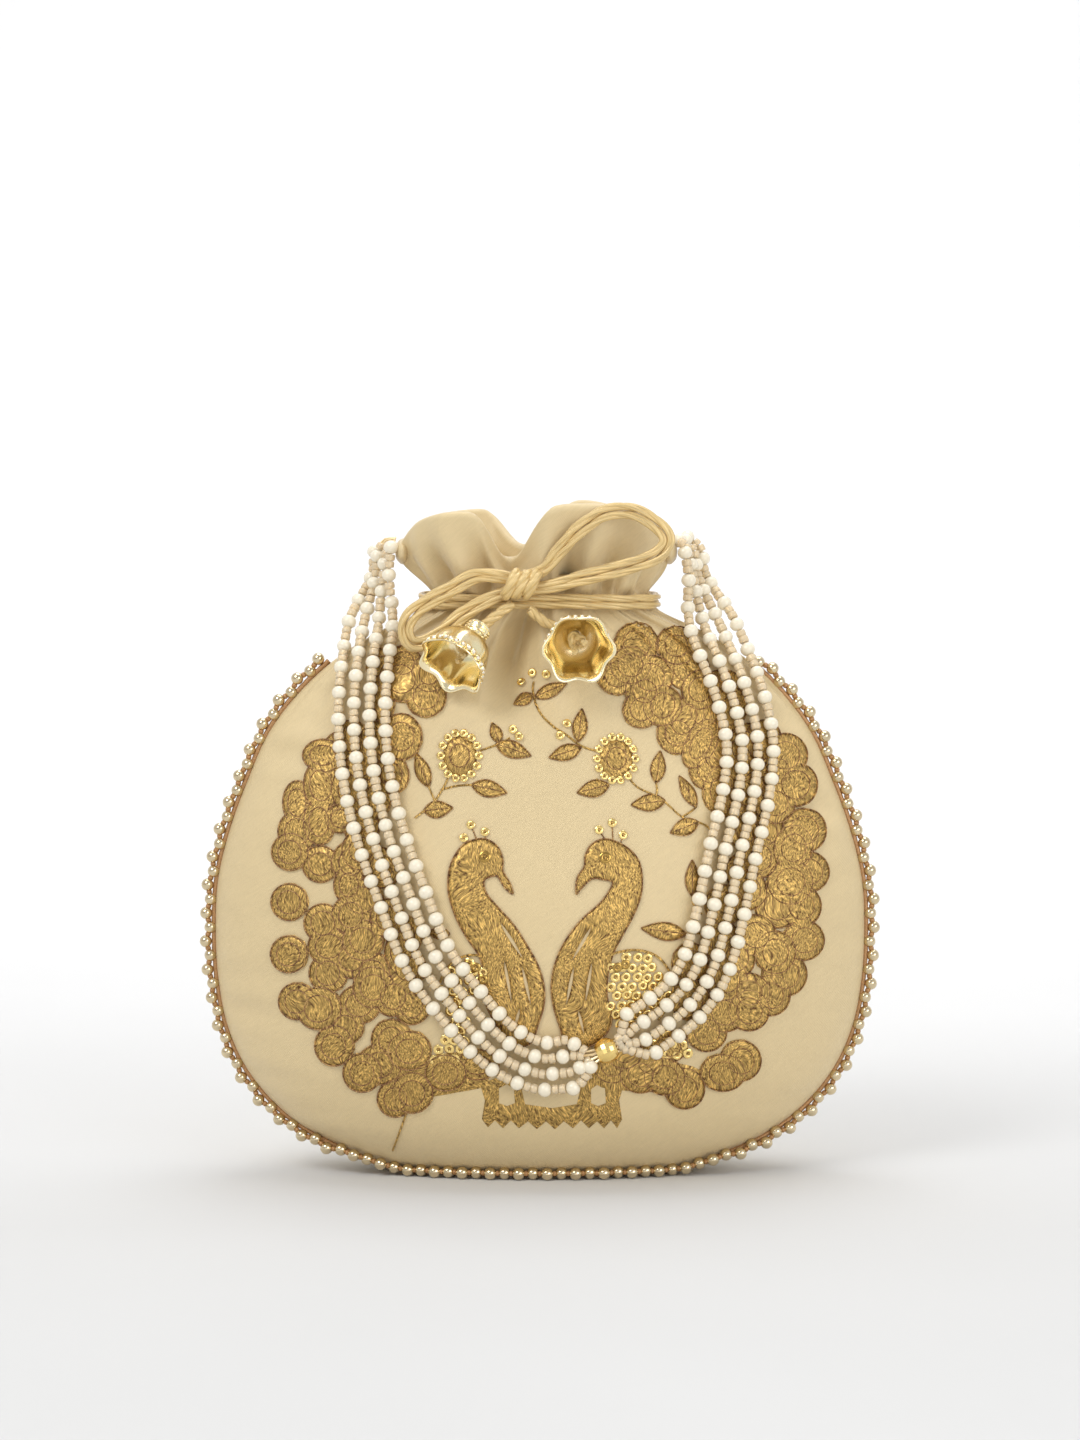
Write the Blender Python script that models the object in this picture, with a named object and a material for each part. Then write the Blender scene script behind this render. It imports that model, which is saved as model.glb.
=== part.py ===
"""A potli bag: a soft drawstring pouch standing on its sewn sole, its neck gathered by a cord that
is tied in a bow and ends in two flower bells, with a strung bead border along the seam and a
handle of four beaded strands. Metres, +Z up, +X to the right, the front towards -Y."""

import math

import bpy
import bmesh
from mathutils import Matrix, Vector
from mathutils.bvhtree import BVHTree

MM = 0.001

# Cloth body
SOLE_HALF_WIDTH = 52 * MM
SOLE_FRONT = 14 * MM
SOLE_BACK = 20 * MM
BELLY_HALF_WIDTH = 108.5 * MM
BELLY_HALF_DEPTH = 41 * MM
BELLY_HEIGHT = 80 * MM
SHOULDER_HALF_WIDTH = 67 * MM
SHOULDER_HALF_DEPTH = 19 * MM
SHOULDER_HEIGHT = 172 * MM
NECK_HALF_WIDTH = 35 * MM
NECK_HALF_DEPTH = 12.5 * MM
NECK_RISE = 19 * MM
NECK_HEIGHT = SHOULDER_HEIGHT + NECK_RISE
SEAM_SHARPNESS = 1.3
GATHERS = 12
GATHER_DEPTH = 0.18
GATHER_LENGTH = 53 * MM
# The one deep fold in the cloth, under the bow's knot
FOLD_DEPTH = 6 * MM
FOLD_ANGLE = 97
FOLD_SPREAD = 8
FOLD_LENGTH = 42 * MM

# Ruffle above the neck
RUFFLE_LEFT = 46 * MM
RUFFLE_RIGHT = 43.5 * MM
RUFFLE_HALF_DEPTH = 23 * MM
RUFFLE_TOP = NECK_HEIGHT + 32 * MM
RUFFLE_SIDE_TOP = NECK_HEIGHT + 15 * MM
CLEFT_DROP = 19 * MM
CLEFT_X = -9.7 * MM
CLOTH_WALL = 1.4 * MM
FUNNEL_FLOOR = 0.3

# Cords and beads
GAP = 0.3 * MM
CORD_WIDTH = 5.6 * MM
CORD_THICKNESS = 2.6 * MM
TAIL_RADIUS = 1.8 * MM
KNOT_SIZE = Vector((13.5, 9, 9.5)) * MM
KNOT_X = -6 * MM
KNOT_HEIGHT = NECK_HEIGHT + 6 * MM
BORDER_BEAD = 4 * MM
BORDER_PITCH = 5.4 * MM
BORDER_ZIGZAG = 1.4 * MM
BORDER_THREAD = 0.7 * MM
BORDER_TOP = SHOULDER_HEIGHT - 2 * MM
STRAND_COUNT = 4
STRAND_DIAMETER = 4.6 * MM
STRAND_SPACING = 5.2 * MM
THREAD_DIAMETER = 0.84 * MM
THREAD_SPACING = 1.2 * MM
HANDLE_AXIS = Vector((0, 4.8 * MM, NECK_HEIGHT + 16 * MM))
SLIDER_DIAMETER = 8.4 * MM
SLIDER_WALL = 1.6 * MM
SLIDER_AT = 0.535

# Flower bells
BELL_DIAMETER = 24 * MM
BELL_LENGTH = 14 * MM
BELL_WALL = 0.9 * MM
CROWN_DIAMETER = 8 * MM
CROWN_LENGTH = 6 * MM
CROWN_CLEARANCE = 0.4 * MM
PETALS = 6
PETAL_DEPTH = 1.1 * MM
STOPPER_DIAMETER = 6.6 * MM

AROUND = 48


def smooth(a, b, value):
    """Rises from 0 at a to 1 at b with level ends."""
    t = min(max((value - a) / (b - a), 0.0), 1.0)
    return t * t * (3 - 2 * t)


def mix(a, b, t):
    return a + (b - a) * t


def through(stations, at):
    """A smooth curve through rows of numbers, read at a value of their first column."""
    rows = [stations[0], *stations, stations[-1]]
    for i in range(1, len(rows) - 2):
        if at <= rows[i + 1][0] or i == len(rows) - 3:
            break
    before, start, end, after = rows[i - 1 : i + 3]
    span = end[0] - start[0]
    t = min(max((at - start[0]) / span, 0.0), 1.0)
    out = []
    for a, b, c, d in zip(before[1:], start[1:], end[1:], after[1:]):
        left = (c - a) / max(end[0] - before[0], 1e-9) * span
        right = (d - b) / max(after[0] - start[0], 1e-9) * span
        out.append(
            b * (2 * t**3 - 3 * t**2 + 1)
            + left * (t**3 - 2 * t**2 + t)
            + c * (3 * t**2 - 2 * t**3)
            + right * (t**3 - t**2)
        )
    return out


def body_stations():
    """Height, half width, front depth and back depth of the cloth from the sole to the neck."""
    rows = []
    # Shares of the way from sole to belly: height, width, depth
    for height, width, depth in (
        (0.0, 0.0, 0.0),
        (0.05, 0.18, 0.24),
        (0.14, 0.42, 0.52),
        (0.26, 0.63, 0.74),
        (0.42, 0.815, 0.89),
        (0.60, 0.93, 0.97),
        (0.80, 0.985, 1.0),
        (1.0, 1.0, 0.98),
    ):
        rows.append(
            (
                height * BELLY_HEIGHT,
                mix(SOLE_HALF_WIDTH, BELLY_HALF_WIDTH, width),
                mix(SOLE_FRONT, BELLY_HALF_DEPTH, depth),
                mix(SOLE_BACK, BELLY_HALF_DEPTH, depth),
            )
        )
    # Shares of the way from belly to shoulder
    for height, width, depth in (
        (0.19, 0.02, 0.11),
        (0.37, 0.115, 0.26),
        (0.55, 0.26, 0.44),
        (0.73, 0.44, 0.64),
        (0.88, 0.70, 0.84),
        (1.0, 1.0, 1.0),
    ):
        across = mix(BELLY_HALF_DEPTH, SHOULDER_HALF_DEPTH, depth)
        rows.append(
            (
                mix(BELLY_HEIGHT, SHOULDER_HEIGHT, height),
                mix(BELLY_HALF_WIDTH, SHOULDER_HALF_WIDTH, width),
                across,
                across,
            )
        )
    # Shares of the way from shoulder to neck
    for height, width, depth in ((0.48, 0.47, 0.5), (0.8, 0.88, 0.84), (1.0, 1.0, 1.0)):
        across = mix(SHOULDER_HALF_DEPTH, NECK_HALF_DEPTH, depth)
        rows.append(
            (
                mix(SHOULDER_HEIGHT, NECK_HEIGHT, height),
                mix(SHOULDER_HALF_WIDTH, NECK_HALF_WIDTH, width),
                across,
                across,
            )
        )
    return rows


BODY = body_stations()


def gather(angle, height):
    """The folds that run down from the neck, as a share of the depth there."""
    strength = smooth(NECK_HEIGHT - GATHER_LENGTH, NECK_HEIGHT, height) ** 1.5
    return GATHER_DEPTH * strength * math.cos(GATHERS * angle)


def knot_fold(angle, height):
    """How far the cloth sinks in under the knot: nothing at the neck cord, most just below it."""
    rise = smooth(NECK_HEIGHT - FOLD_LENGTH, NECK_HEIGHT - 0.4 * FOLD_LENGTH, height)
    fade = smooth(NECK_HEIGHT, NECK_HEIGHT - 0.25 * FOLD_LENGTH, height)
    away = (math.degrees(angle) - FOLD_ANGLE) / FOLD_SPREAD
    return FOLD_DEPTH * rise * fade * math.exp(-(away**2))


def body_point(angle, height):
    """A point of the cloth: angle 0 is the right seam, 90 degrees the middle of the front."""
    width, front, back = through(BODY, height)
    depth = front if math.sin(angle) > 0 else back
    fold = gather(angle, height)
    rise = math.copysign(abs(math.sin(angle)) ** SEAM_SHARPNESS, math.sin(angle))
    return Vector(
        (
            width * math.cos(angle) * (1 + 0.2 * fold),
            -depth * rise * (1 + fold) + knot_fold(angle, height),
            height,
        )
    )


def cleft(angle, centre, spread=0.2):
    away = (angle - centre + math.pi) % (2 * math.pi) - math.pi
    return math.exp(-((away / spread) ** 2))


def ruffle_point(angle, rise):
    """A point of the ruffle's outer face, from the neck (rise 0) to the hem (rise 1)."""
    neck = body_point(angle, NECK_HEIGHT)
    side = RUFFLE_RIGHT if math.cos(angle) > 0 else RUFFLE_LEFT
    open_wide = 1 - (1 - rise) ** 1.9
    width = mix(NECK_HALF_WIDTH, side, open_wide)
    depth = mix(NECK_HALF_DEPTH, RUFFLE_HALF_DEPTH, rise**0.8)
    front_cleft = cleft(angle, math.acos(CLEFT_X / RUFFLE_LEFT))
    back_cleft = cleft(angle, math.radians(265))
    dip = max(front_cleft, 0.8 * back_cleft)
    fold = mix(GATHER_DEPTH, 0.1, rise) * math.cos(GATHERS * angle)
    swell = abs(math.sin(angle))
    lift = math.copysign(swell ** mix(SEAM_SHARPNESS, 1.0, rise), math.sin(angle))
    hem = mix(RUFFLE_SIDE_TOP, RUFFLE_TOP, swell**0.7) - CLEFT_DROP * dip
    hem -= 1.5 * MM * (1 + math.cos(3 * angle + 0.5)) * swell**2 * (1 - dip)
    return Vector(
        (
            width * math.cos(angle) * (1 + 0.2 * fold * (1 - rise)),
            -depth * lift * (1 + fold) * (1 - 0.72 * dip * smooth(0.1, 0.8, rise)),
            mix(neck.z, hem, rise),
        )
    )


def material(name, color, roughness, metallic=0.0):
    made = bpy.data.materials.new(name)
    made.use_nodes = True
    shader = made.node_tree.nodes["Principled BSDF"]
    shader.inputs["Base Color"].default_value = (*color, 1)
    shader.inputs["Roughness"].default_value = roughness
    shader.inputs["Metallic"].default_value = metallic
    made.diffuse_color = (*color, 1)
    return made


def add_object(name, data, look):
    data.materials.append(look)
    made = bpy.data.objects.new(name, data)
    bpy.context.scene.collection.objects.link(made)
    return made


def loft(name, rings, look, closed=False, sharp=None):
    """Joins rings of points into one closed skin; an open run gets a cap at each end."""
    shape = bmesh.new()
    rows = [[shape.verts.new(point) for point in ring] for ring in rings]
    count = len(rows[0])
    pairs = list(zip(rows, rows[1:] + rows[:1]))
    for low, high in pairs if closed else pairs[:-1]:
        for i in range(count):
            j = (i + 1) % count
            shape.faces.new((low[i], low[j], high[j], high[i]))
    if not closed:
        shape.faces.new(rows[0][::-1])
        shape.faces.new(rows[-1])
    bmesh.ops.recalc_face_normals(shape, faces=shape.faces)
    mesh = bpy.data.meshes.new(name)
    shape.to_mesh(mesh)
    shape.free()
    mesh.shade_smooth()
    if sharp:
        mesh.set_sharp_from_angle(angle=math.radians(sharp))
    return add_object(name, mesh, look)


def resample(points, count):
    """Evenly spaced points along a smooth curve through the route's points."""
    rows = [(0.0, *points[0])]
    for a, b in zip(points, points[1:]):
        rows.append((rows[-1][0] + (b - a).length, *b))
    fine = [Vector(through(rows, rows[-1][0] * i / 600)) for i in range(601)]
    run = [0.0]
    for a, b in zip(fine, fine[1:]):
        run.append(run[-1] + (b - a).length)
    out, k = [], 0
    for i in range(count):
        goal = run[-1] * i / (count - 1)
        while k < 599 and run[k + 1] < goal:
            k += 1
        t = (goal - run[k]) / max(run[k + 1] - run[k], 1e-12)
        out.append(fine[k].lerp(fine[k + 1], min(max(t, 0.0), 1.0)))
    return out


def sweep(name, path, radii, look, sides=8, face=None, closed=False):
    """A cord along a path: radii holds (across, through) at each point, and face is the way its
    flat side looks."""
    rings = []
    last = len(path) - 1
    side = None
    for i, point in enumerate(path):
        ahead = path[(i + 1) % len(path)] if closed else path[min(i + 1, last)]
        behind = path[i - 1] if closed else path[max(i - 1, 0)]
        along = (ahead - behind).normalized()
        looks = face(i) if face else side or along.orthogonal()
        side = (looks - along * looks.dot(along)).normalized()
        across = along.cross(side)
        wide, thin = radii(i)
        ring = []
        for k in range(sides):
            turn = 2 * math.pi * (k + 0.5) / sides
            ring.append(point + across * wide * math.cos(turn) + side * thin * math.sin(turn))
        rings.append(ring)
    return loft(name, rings, look, closed=closed, sharp=50)


def seat(skin, point, out, clearance):
    """Moves a point straight out from the skin until it has this clearance all round."""
    out = out.normalized()
    hit = skin.ray_cast(point + out * 0.3, -out)[0]
    start = hit if hit else point
    step = 0.1 * MM
    for i in range(900):
        here = start + out * (clearance * 0.6 + step * i)
        near = skin.find_nearest(here)
        if near[3] >= clearance:
            return here
    return start + out * clearance


def lift_clear(skin, points, radii):
    """Moves points forwards until the runs between them clear the skin too."""
    for _ in range(40):
        touching = False
        for i in range(len(points) - 1):
            middle = (points[i] + points[i + 1]) / 2
            near = skin.find_nearest(middle)
            if near[3] < max(radii[i], radii[i + 1]) + GAP:
                touching = True
                points[i].y -= 0.1 * MM
                points[i + 1].y -= 0.1 * MM
        if not touching:
            return


def bring_forward(item, skin):
    """Moves an object straight forwards until it clears the skin by the gap."""
    for _ in range(120):
        own = skin_of(item)
        near = min(
            skin.find_nearest(item.matrix_world @ v.co)[3] for v in item.data.vertices
        )
        if near >= GAP and not own.overlap(skin):
            return
        item.matrix_world = Matrix.Translation((0, -0.15 * MM, 0)) @ item.matrix_world


def pivot_at(item, place):
    """Moves an object's origin to a point of its joint's axis, with its shape left in place."""
    item.data.transform(Matrix.Translation(-place) @ item.matrix_world)
    item.matrix_world = Matrix.Translation(place)


def hang(item, carrier):
    item.parent = carrier
    item.matrix_parent_inverse = carrier.matrix_world.inverted()


def axis_empty(name, place):
    made = bpy.data.objects.new(name, None)
    bpy.context.scene.collection.objects.link(made)
    made.empty_display_size = 0.02
    made.matrix_world = Matrix.Translation(place)
    return made


def skin_of(*objects):
    """One search tree over several meshes at their places."""
    points, faces = [], []
    for item in objects:
        base = len(points)
        points += [item.matrix_world @ v.co for v in item.data.vertices]
        faces += [[base + i for i in face.vertices] for face in item.data.polygons]
    return BVHTree.FromPolygons(points, faces)


def build_body(cloth):
    shares = [0, 0.009, 0.023, 0.047, 0.08, 0.128, 0.186, 0.256, 0.337, 0.42, 0.5, 0.58, 0.66]
    shares += [0.74, 0.81, 0.87, 0.925, 0.975]
    top = NECK_HEIGHT - GAP / 2
    levels = [SHOULDER_HEIGHT * share for share in shares]
    levels += [mix(SHOULDER_HEIGHT, top, t) for t in (0.15, 0.45, 0.72, 0.9, 1.0)]
    rings = []
    for height in levels:
        rings.append([body_point(2 * math.pi * i / AROUND, height) for i in range(AROUND)])
    return loft("bag_body", rings, cloth, sharp=70)


def inward(ring, wall):
    """The ring moved in by the cloth's thickness."""
    out = []
    for i, point in enumerate(ring):
        along = ring[(i + 1) % len(ring)] - ring[i - 1]
        aside = Vector((along.y, -along.x, 0)).normalized()
        out.append(point + aside * wall)
    return out


def build_ruffle(cloth):
    steps = (0.0, 0.12, 0.27, 0.45, 0.64, 0.83, 1.0)
    outer = [
        [ruffle_point(2 * math.pi * i / AROUND, t) for i in range(AROUND)] for t in steps
    ]
    for point in outer[0]:
        point.z += GAP / 2
    inner = []
    for t in (1.0, 0.8, 0.6, 0.42, FUNNEL_FLOOR):
        ring = [ruffle_point(2 * math.pi * i / AROUND, t) for i in range(AROUND)]
        inner.append(inward(ring, CLOTH_WALL))
    return loft("bag_ruffle", outer + inner, cloth, sharp=70)


def build_border(skin, metal):
    """The bead string along the seam: down the sides at the seam, then in front of the sole."""
    lowest = BORDER_BEAD / 2 + 0.1 * MM
    turn_in = 0.43 * BELLY_HEIGHT
    front_angle = math.radians(38)
    marks = []
    steps = 26
    for i in range(steps):
        height = mix(BORDER_TOP, turn_in, i / steps)
        marks.append((0.0, height, 0.0))
    for i in range(10):
        t = i / 10
        marks.append((front_angle * smooth(0, 1, t), mix(turn_in, lowest, math.sin(t * math.pi / 2)), t))
    for i in range(9):
        marks.append((mix(front_angle, math.pi / 2, i / 8), lowest, 1.0))
    route = []
    for angle, height, turned in marks:
        point = body_point(angle, height)
        above = body_point(angle, height + 1 * MM)
        below = body_point(angle, max(height - 1 * MM, 0))
        slope = (above - below).normalized()
        side = Vector((slope.z, 0, -slope.x))
        ways = side.lerp(Vector((0.25 * (1 - turned), -1, 0)), smooth(0, 1, turned))
        if turned:
            ways.z *= 1 - turned
        route.append(seat(skin, point, ways, BORDER_BEAD / 2 + GAP))
    left = [Vector((-p.x, p.y, p.z)) for p in route[:-1]]
    route = route + left[::-1]
    length = sum((b - a).length for a, b in zip(route, route[1:]))
    count = round(length / BORDER_PITCH)
    spots = resample(route, 2 * count + 1)
    path, sizes = [], []
    reach = 0.24 * BORDER_PITCH
    for i in range(count):
        centre = spots[2 * i + 1]
        along = (spots[2 * i + 2] - spots[2 * i]).normalized()
        out = centre - Vector((0, centre.y * 0.4, BELLY_HEIGHT))
        out = (out - along * out.dot(along)).normalized()
        if centre.z < 2 * BORDER_BEAD:
            out = Vector((0, -1, 0))
        if i % 2:
            centre = centre + out * BORDER_ZIGZAG
            centre.z = max(centre.z, lowest)
        if i:
            before = path[-1]
            path.append((before + centre - along * reach) / 2)
            sizes.append(BORDER_THREAD)
        path += [centre - along * reach, centre + along * reach]
        sizes += [BORDER_BEAD / 2 * 0.96] * 2
    string = sweep(
        "border_beads",
        path,
        lambda i: (sizes[i], sizes[i]),
        metal,
        sides=6,
        face=lambda i: Vector((0, 1, 0)),
    )
    return string


def bell_profile():
    """Outer face from the crown's top to the rim, then the inner face back: radius and depth."""
    crown = CROWN_DIAMETER / 2
    rim = BELL_DIAMETER / 2
    bore = TAIL_RADIUS + CROWN_CLEARANCE
    total = CROWN_LENGTH + BELL_LENGTH
    outer = [
        (crown * 0.9, 0.0),
        (crown, 0.12 * CROWN_LENGTH),
        (crown, 0.9 * CROWN_LENGTH),
        (mix(crown, rim, 0.45), CROWN_LENGTH + 0.13 * BELL_LENGTH),
        (mix(crown, rim, 0.72), CROWN_LENGTH + 0.38 * BELL_LENGTH),
        (mix(crown, rim, 0.82), CROWN_LENGTH + 0.7 * BELL_LENGTH),
        (rim, total),
    ]
    inner = [
        (rim - BELL_WALL * 1.6, total),
        (outer[5][0] - BELL_WALL, outer[5][1]),
        (outer[4][0] - BELL_WALL, outer[4][1] + 0.3 * BELL_WALL),
        (outer[3][0] - BELL_WALL, outer[3][1] + BELL_WALL),
        (bore, CROWN_LENGTH),
        (bore, 0.0),
    ]
    return outer + inner


def build_bell(name, gold, place):
    """A flower bell: a tubular crown that opens into a hollow cup with petals round its rim."""
    profile = bell_profile()
    sides = 24
    rim = BELL_DIAMETER / 2
    rings = []
    for radius, depth in profile:
        share = smooth(0.6 * rim, 0.95 * rim, radius)
        ring = []
        for i in range(sides):
            angle = 2 * math.pi * i / sides
            petal = math.cos(PETALS * angle)
            wide = radius + PETAL_DEPTH * 0.5 * (petal - 1) * share
            low = depth - PETAL_DEPTH * 0.6 * (1 - petal) * share
            ring.append(Vector((wide * math.cos(angle), wide * math.sin(angle), -low)))
        rings.append(ring)
    bell = loft(name, rings, gold, closed=True, sharp=40)
    bell.matrix_world = place
    return bell


def aim(point, along):
    """A place whose -Z runs along the given direction."""
    turn = along.normalized().to_track_quat("-Z", "Y")
    return Matrix.Translation(point) @ turn.to_matrix().to_4x4()


def build_tail(name, route, into, satin):
    """A cord end that runs through a bell's crown and is knotted inside the bell. route ends at
    the crown's top, and into is the crown's direction."""
    end = route[-1]
    inside = CROWN_LENGTH + 0.5 * MM
    lead = resample(route, 9)
    path = lead[:-1] + [end, end + into * inside * 0.5, end + into * inside]
    sizes = [TAIL_RADIUS] * len(path)
    ball = STOPPER_DIAMETER / 2
    for t in (0.12, 0.3, 0.5, 0.7, 0.88):
        path.append(end + into * (inside + STOPPER_DIAMETER * t))
        sizes.append(max(ball * math.sqrt(1 - (2 * t - 1) ** 2), TAIL_RADIUS))
    path.append(end + into * (inside + STOPPER_DIAMETER + 1 * MM))
    sizes.append(TAIL_RADIUS * 0.8)
    return sweep(name, path, lambda i: (sizes[i], sizes[i]), satin)


def handle_routes():
    """The middle line of the four strands in the front view, from the left top to the right: how
    far out at each height, and the height as a share of the handle axis' height."""
    marks = (
        (-52.5, 1.0),
        (-53.5, 0.955),
        (-55.8, 0.893),
        (-57.6, 0.829),
        (-58.5, 0.742),
        (-56.9, 0.654),
        (-52.5, 0.565),
        (-44.4, 0.46),
        (-36.2, 0.366),
        (-25, 0.293),
        (-13.9, 0.235),
        (-2, 0.203),
        (8, 0.202),
        (19.4, 0.22),
        (32, 0.25),
        (44, 0.289),
        (53, 0.345),
        (58.5, 0.431),
        (62.9, 0.53),
        (67.5, 0.62),
        (69, 0.7),
        (65.2, 0.785),
        (60, 0.85),
        (55, 0.91),
        (52, 0.96),
        (50.5, 1.0),
    )
    return [Vector((x * MM, 0, share * HANDLE_AXIS.z)) for x, share in marks]


def strand_turn(height):
    """The angle of the row of strands: in line with the view at the top, across it lower down."""
    return math.radians(mix(90, 22, smooth(HANDLE_AXIS.z - 32 * MM, HANDLE_AXIS.z - 6 * MM, height)))


def build_strands(skin, pearl):
    middle = resample(handle_routes(), 49)
    radius = STRAND_DIAMETER / 2
    ball = SLIDER_DIAMETER / 2
    total = sum((b - a).length for a, b in zip(middle, middle[1:]))
    spots, at = [], []
    # Closer points near the slider bead, where the strands draw in to their threads
    slider = SLIDER_AT * total
    near = [-17, -12, -8.5, -6.2, -4.9, -2, 2, 4.9, 6.2, 8.5, 12, 17]
    runs = [total * i / 48 for i in range(49)]
    runs = [r for r in runs if abs(r - slider) > 20 * MM] + [slider + n * MM for n in near]
    runs.sort()
    for run in runs:
        share = run / total * 48
        k = min(int(share), 47)
        spots.append(middle[k].lerp(middle[k + 1], share - k))
        at.append(abs(run - slider))
    strands = []
    bead_place = None
    for k in range(STRAND_COUNT):
        points, sizes = [], []
        for i, spot in enumerate(spots):
            ahead = spots[min(i + 1, len(spots) - 1)]
            behind = spots[max(i - 1, 0)]
            along = (ahead - behind).normalized()
            inner = Vector((-along.z, 0, along.x)) if along.length else Vector((1, 0, 0))
            drawn = 1 - smooth(5 * MM, 12 * MM, at[i])
            spacing = mix(STRAND_SPACING, THREAD_SPACING, drawn)
            turned = strand_turn(spot.z)
            place = (STRAND_COUNT - 1) / 2 - k
            point = spot + inner * spacing * place * math.sin(turned)
            raised = 1 - smooth(6 * MM, 28 * MM, at[i])
            clearance = mix(radius, ball, raised) + 1.5 * GAP
            level = seat(skin, Vector((spot.x, 0, spot.z)), Vector((0, -1, 0)), clearance)
            own = seat(skin, Vector((point.x, 0, point.z)), Vector((0, -1, 0)), clearance)
            held = smooth(NECK_HEIGHT + 14 * MM, NECK_HEIGHT - 14 * MM, spot.z)
            depth = mix(own.y, level.y, smooth(30 * MM, 10 * MM, at[i]))
            row = STRAND_SPACING * place * math.cos(turned)
            point.y = mix(HANDLE_AXIS.y, depth, held) - row
            points.append(point)
            thinned = 1 - smooth(5 * MM, 16 * MM, at[i])
            sizes.append(mix(1.0, THREAD_DIAMETER / STRAND_DIAMETER, thinned))
        lift_clear(skin, points, [radius * size for size in sizes])
        # The ends turn in towards the sides of the ruffle
        first, last = points[0], points[-1]
        lift = STRAND_DIAMETER * 0.9
        left_end = -(RUFFLE_LEFT + 2.2 * MM)
        right_end = RUFFLE_RIGHT + 2.2 * MM
        start = [
            Vector((left_end, first.y, first.z + lift)),
            Vector((mix(left_end, first.x, 0.55), first.y, first.z + lift * 0.85)),
        ]
        finish = [
            Vector((mix(right_end, last.x, 0.55), last.y, last.z + lift * 0.85)),
            Vector((right_end, last.y, last.z + lift)),
        ]
        points = start + points + finish
        sizes = [1.0, 1.0] + sizes + [1.0, 1.0]
        name = f"handle_strand_{k + 1}"
        line = bpy.data.curves.new(name, "CURVE")
        line.dimensions = "3D"
        line.bevel_depth = radius
        line.bevel_resolution = 2
        line.use_fill_caps = True
        spline = line.splines.new("POLY")
        spline.points.add(len(points) - 1)
        for mark, place, size in zip(spline.points, points, sizes):
            mark.co = (*(place - HANDLE_AXIS), 1)
            mark.radius = size
        strand = add_object(name, line, pearl)
        strand.matrix_world = Matrix.Translation(HANDLE_AXIS)
        strands.append((strand, points))
    inner, outer = strands[1][1], strands[2][1]
    nearest = min(range(len(inner)), key=lambda i: (i < 2) + abs(i - 2 - at.index(min(at)) - 0.5))
    centre = (inner[nearest] + inner[nearest + 1] + outer[nearest] + outer[nearest + 1]) / 4
    way = (inner[nearest + 1] - inner[nearest]).normalized()
    bead_place = (centre, way)
    return [s for s, _ in strands], bead_place


def build_slider(place, gold):
    """The round gold bead that all the strands' threads pass through."""
    centre, way = place
    ball = SLIDER_DIAMETER / 2
    bore = ball - SLIDER_WALL
    half = math.sqrt(ball**2 - bore**2)
    profile = []
    for i in range(7):
        angle = mix(-1, 1, i / 6) * math.asin(half / ball)
        profile.append((ball * math.cos(angle), ball * math.sin(angle)))
    profile += [(bore, half * 0.98), (bore, -half * 0.98)]
    rings = []
    for radius, depth in profile:
        ring = []
        for i in range(16):
            angle = 2 * math.pi * i / 16
            ring.append(Vector((radius * math.cos(angle), radius * math.sin(angle), depth)))
        rings.append(ring)
    bead = loft("slider_bead", rings, gold, closed=True, sharp=45)
    turn = way.to_track_quat("Z", "Y")
    bead.matrix_world = Matrix.Translation(centre) @ turn.to_matrix().to_4x4()
    return bead


def build_neck_cord(skin, satin):
    """The cord drawn tight round the neck, over the crests of the gathers."""
    half = CORD_THICKNESS / 2
    count = AROUND
    spots, reach = [], []
    for i in range(count):
        angle = 2 * math.pi * i / count
        spot = Vector((NECK_HALF_WIDTH * math.cos(angle), -NECK_HALF_DEPTH * math.sin(angle), 0))
        out = Vector((spot.x / NECK_HALF_WIDTH**2, spot.y / NECK_HALF_DEPTH**2, 0)).normalized()
        level = spot + Vector((0, 0, NECK_HEIGHT))
        found = seat(skin, level, out, half * 1.15 + 1.5 * GAP)
        spots.append((level, out))
        reach.append((found - level).dot(out))
    crest = [max(reach[(i + k) % count] for k in range(-2, 3)) for i in range(count)]
    path = []
    for i, (level, out) in enumerate(spots):
        even = (crest[i - 1] + 2 * crest[i] + crest[(i + 1) % count]) / 4
        path.append(level + out * max(even, reach[i]))
    return sweep(
        "neck_cord",
        path,
        lambda i: (half * 1.15, half),
        satin,
        face=lambda i: spots[i][1],
        closed=True,
    )


def build_knot(skin, satin):
    """The bow's knot: a plump pad with the groove of the cord that crosses it."""
    half = KNOT_SIZE / 2
    spot = Vector((KNOT_X, 0, KNOT_HEIGHT))
    centre = seat(skin, spot, Vector((0, -1, 0)), half.y + GAP)
    rings = []
    rows = 9
    for i in range(1, rows):
        tilt = math.pi * i / rows
        ring = []
        for k in range(14):
            turn = 2 * math.pi * k / 14
            groove = 1 - 0.14 * math.exp(-((math.cos(tilt) / 0.22) ** 2))
            across = math.sin(tilt) ** 0.7 * groove
            ring.append(
                Vector(
                    (
                        half.x * math.cos(tilt),
                        half.y * across * math.cos(turn),
                        half.z * across * math.sin(turn),
                    )
                )
            )
        rings.append(ring)
    knot = loft("bow_knot", rings, satin, sharp=50)
    knot.matrix_world = Matrix.Translation(centre) @ Matrix.Rotation(math.radians(12), 4, "Y")
    bring_forward(knot, skin)
    return knot


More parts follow.
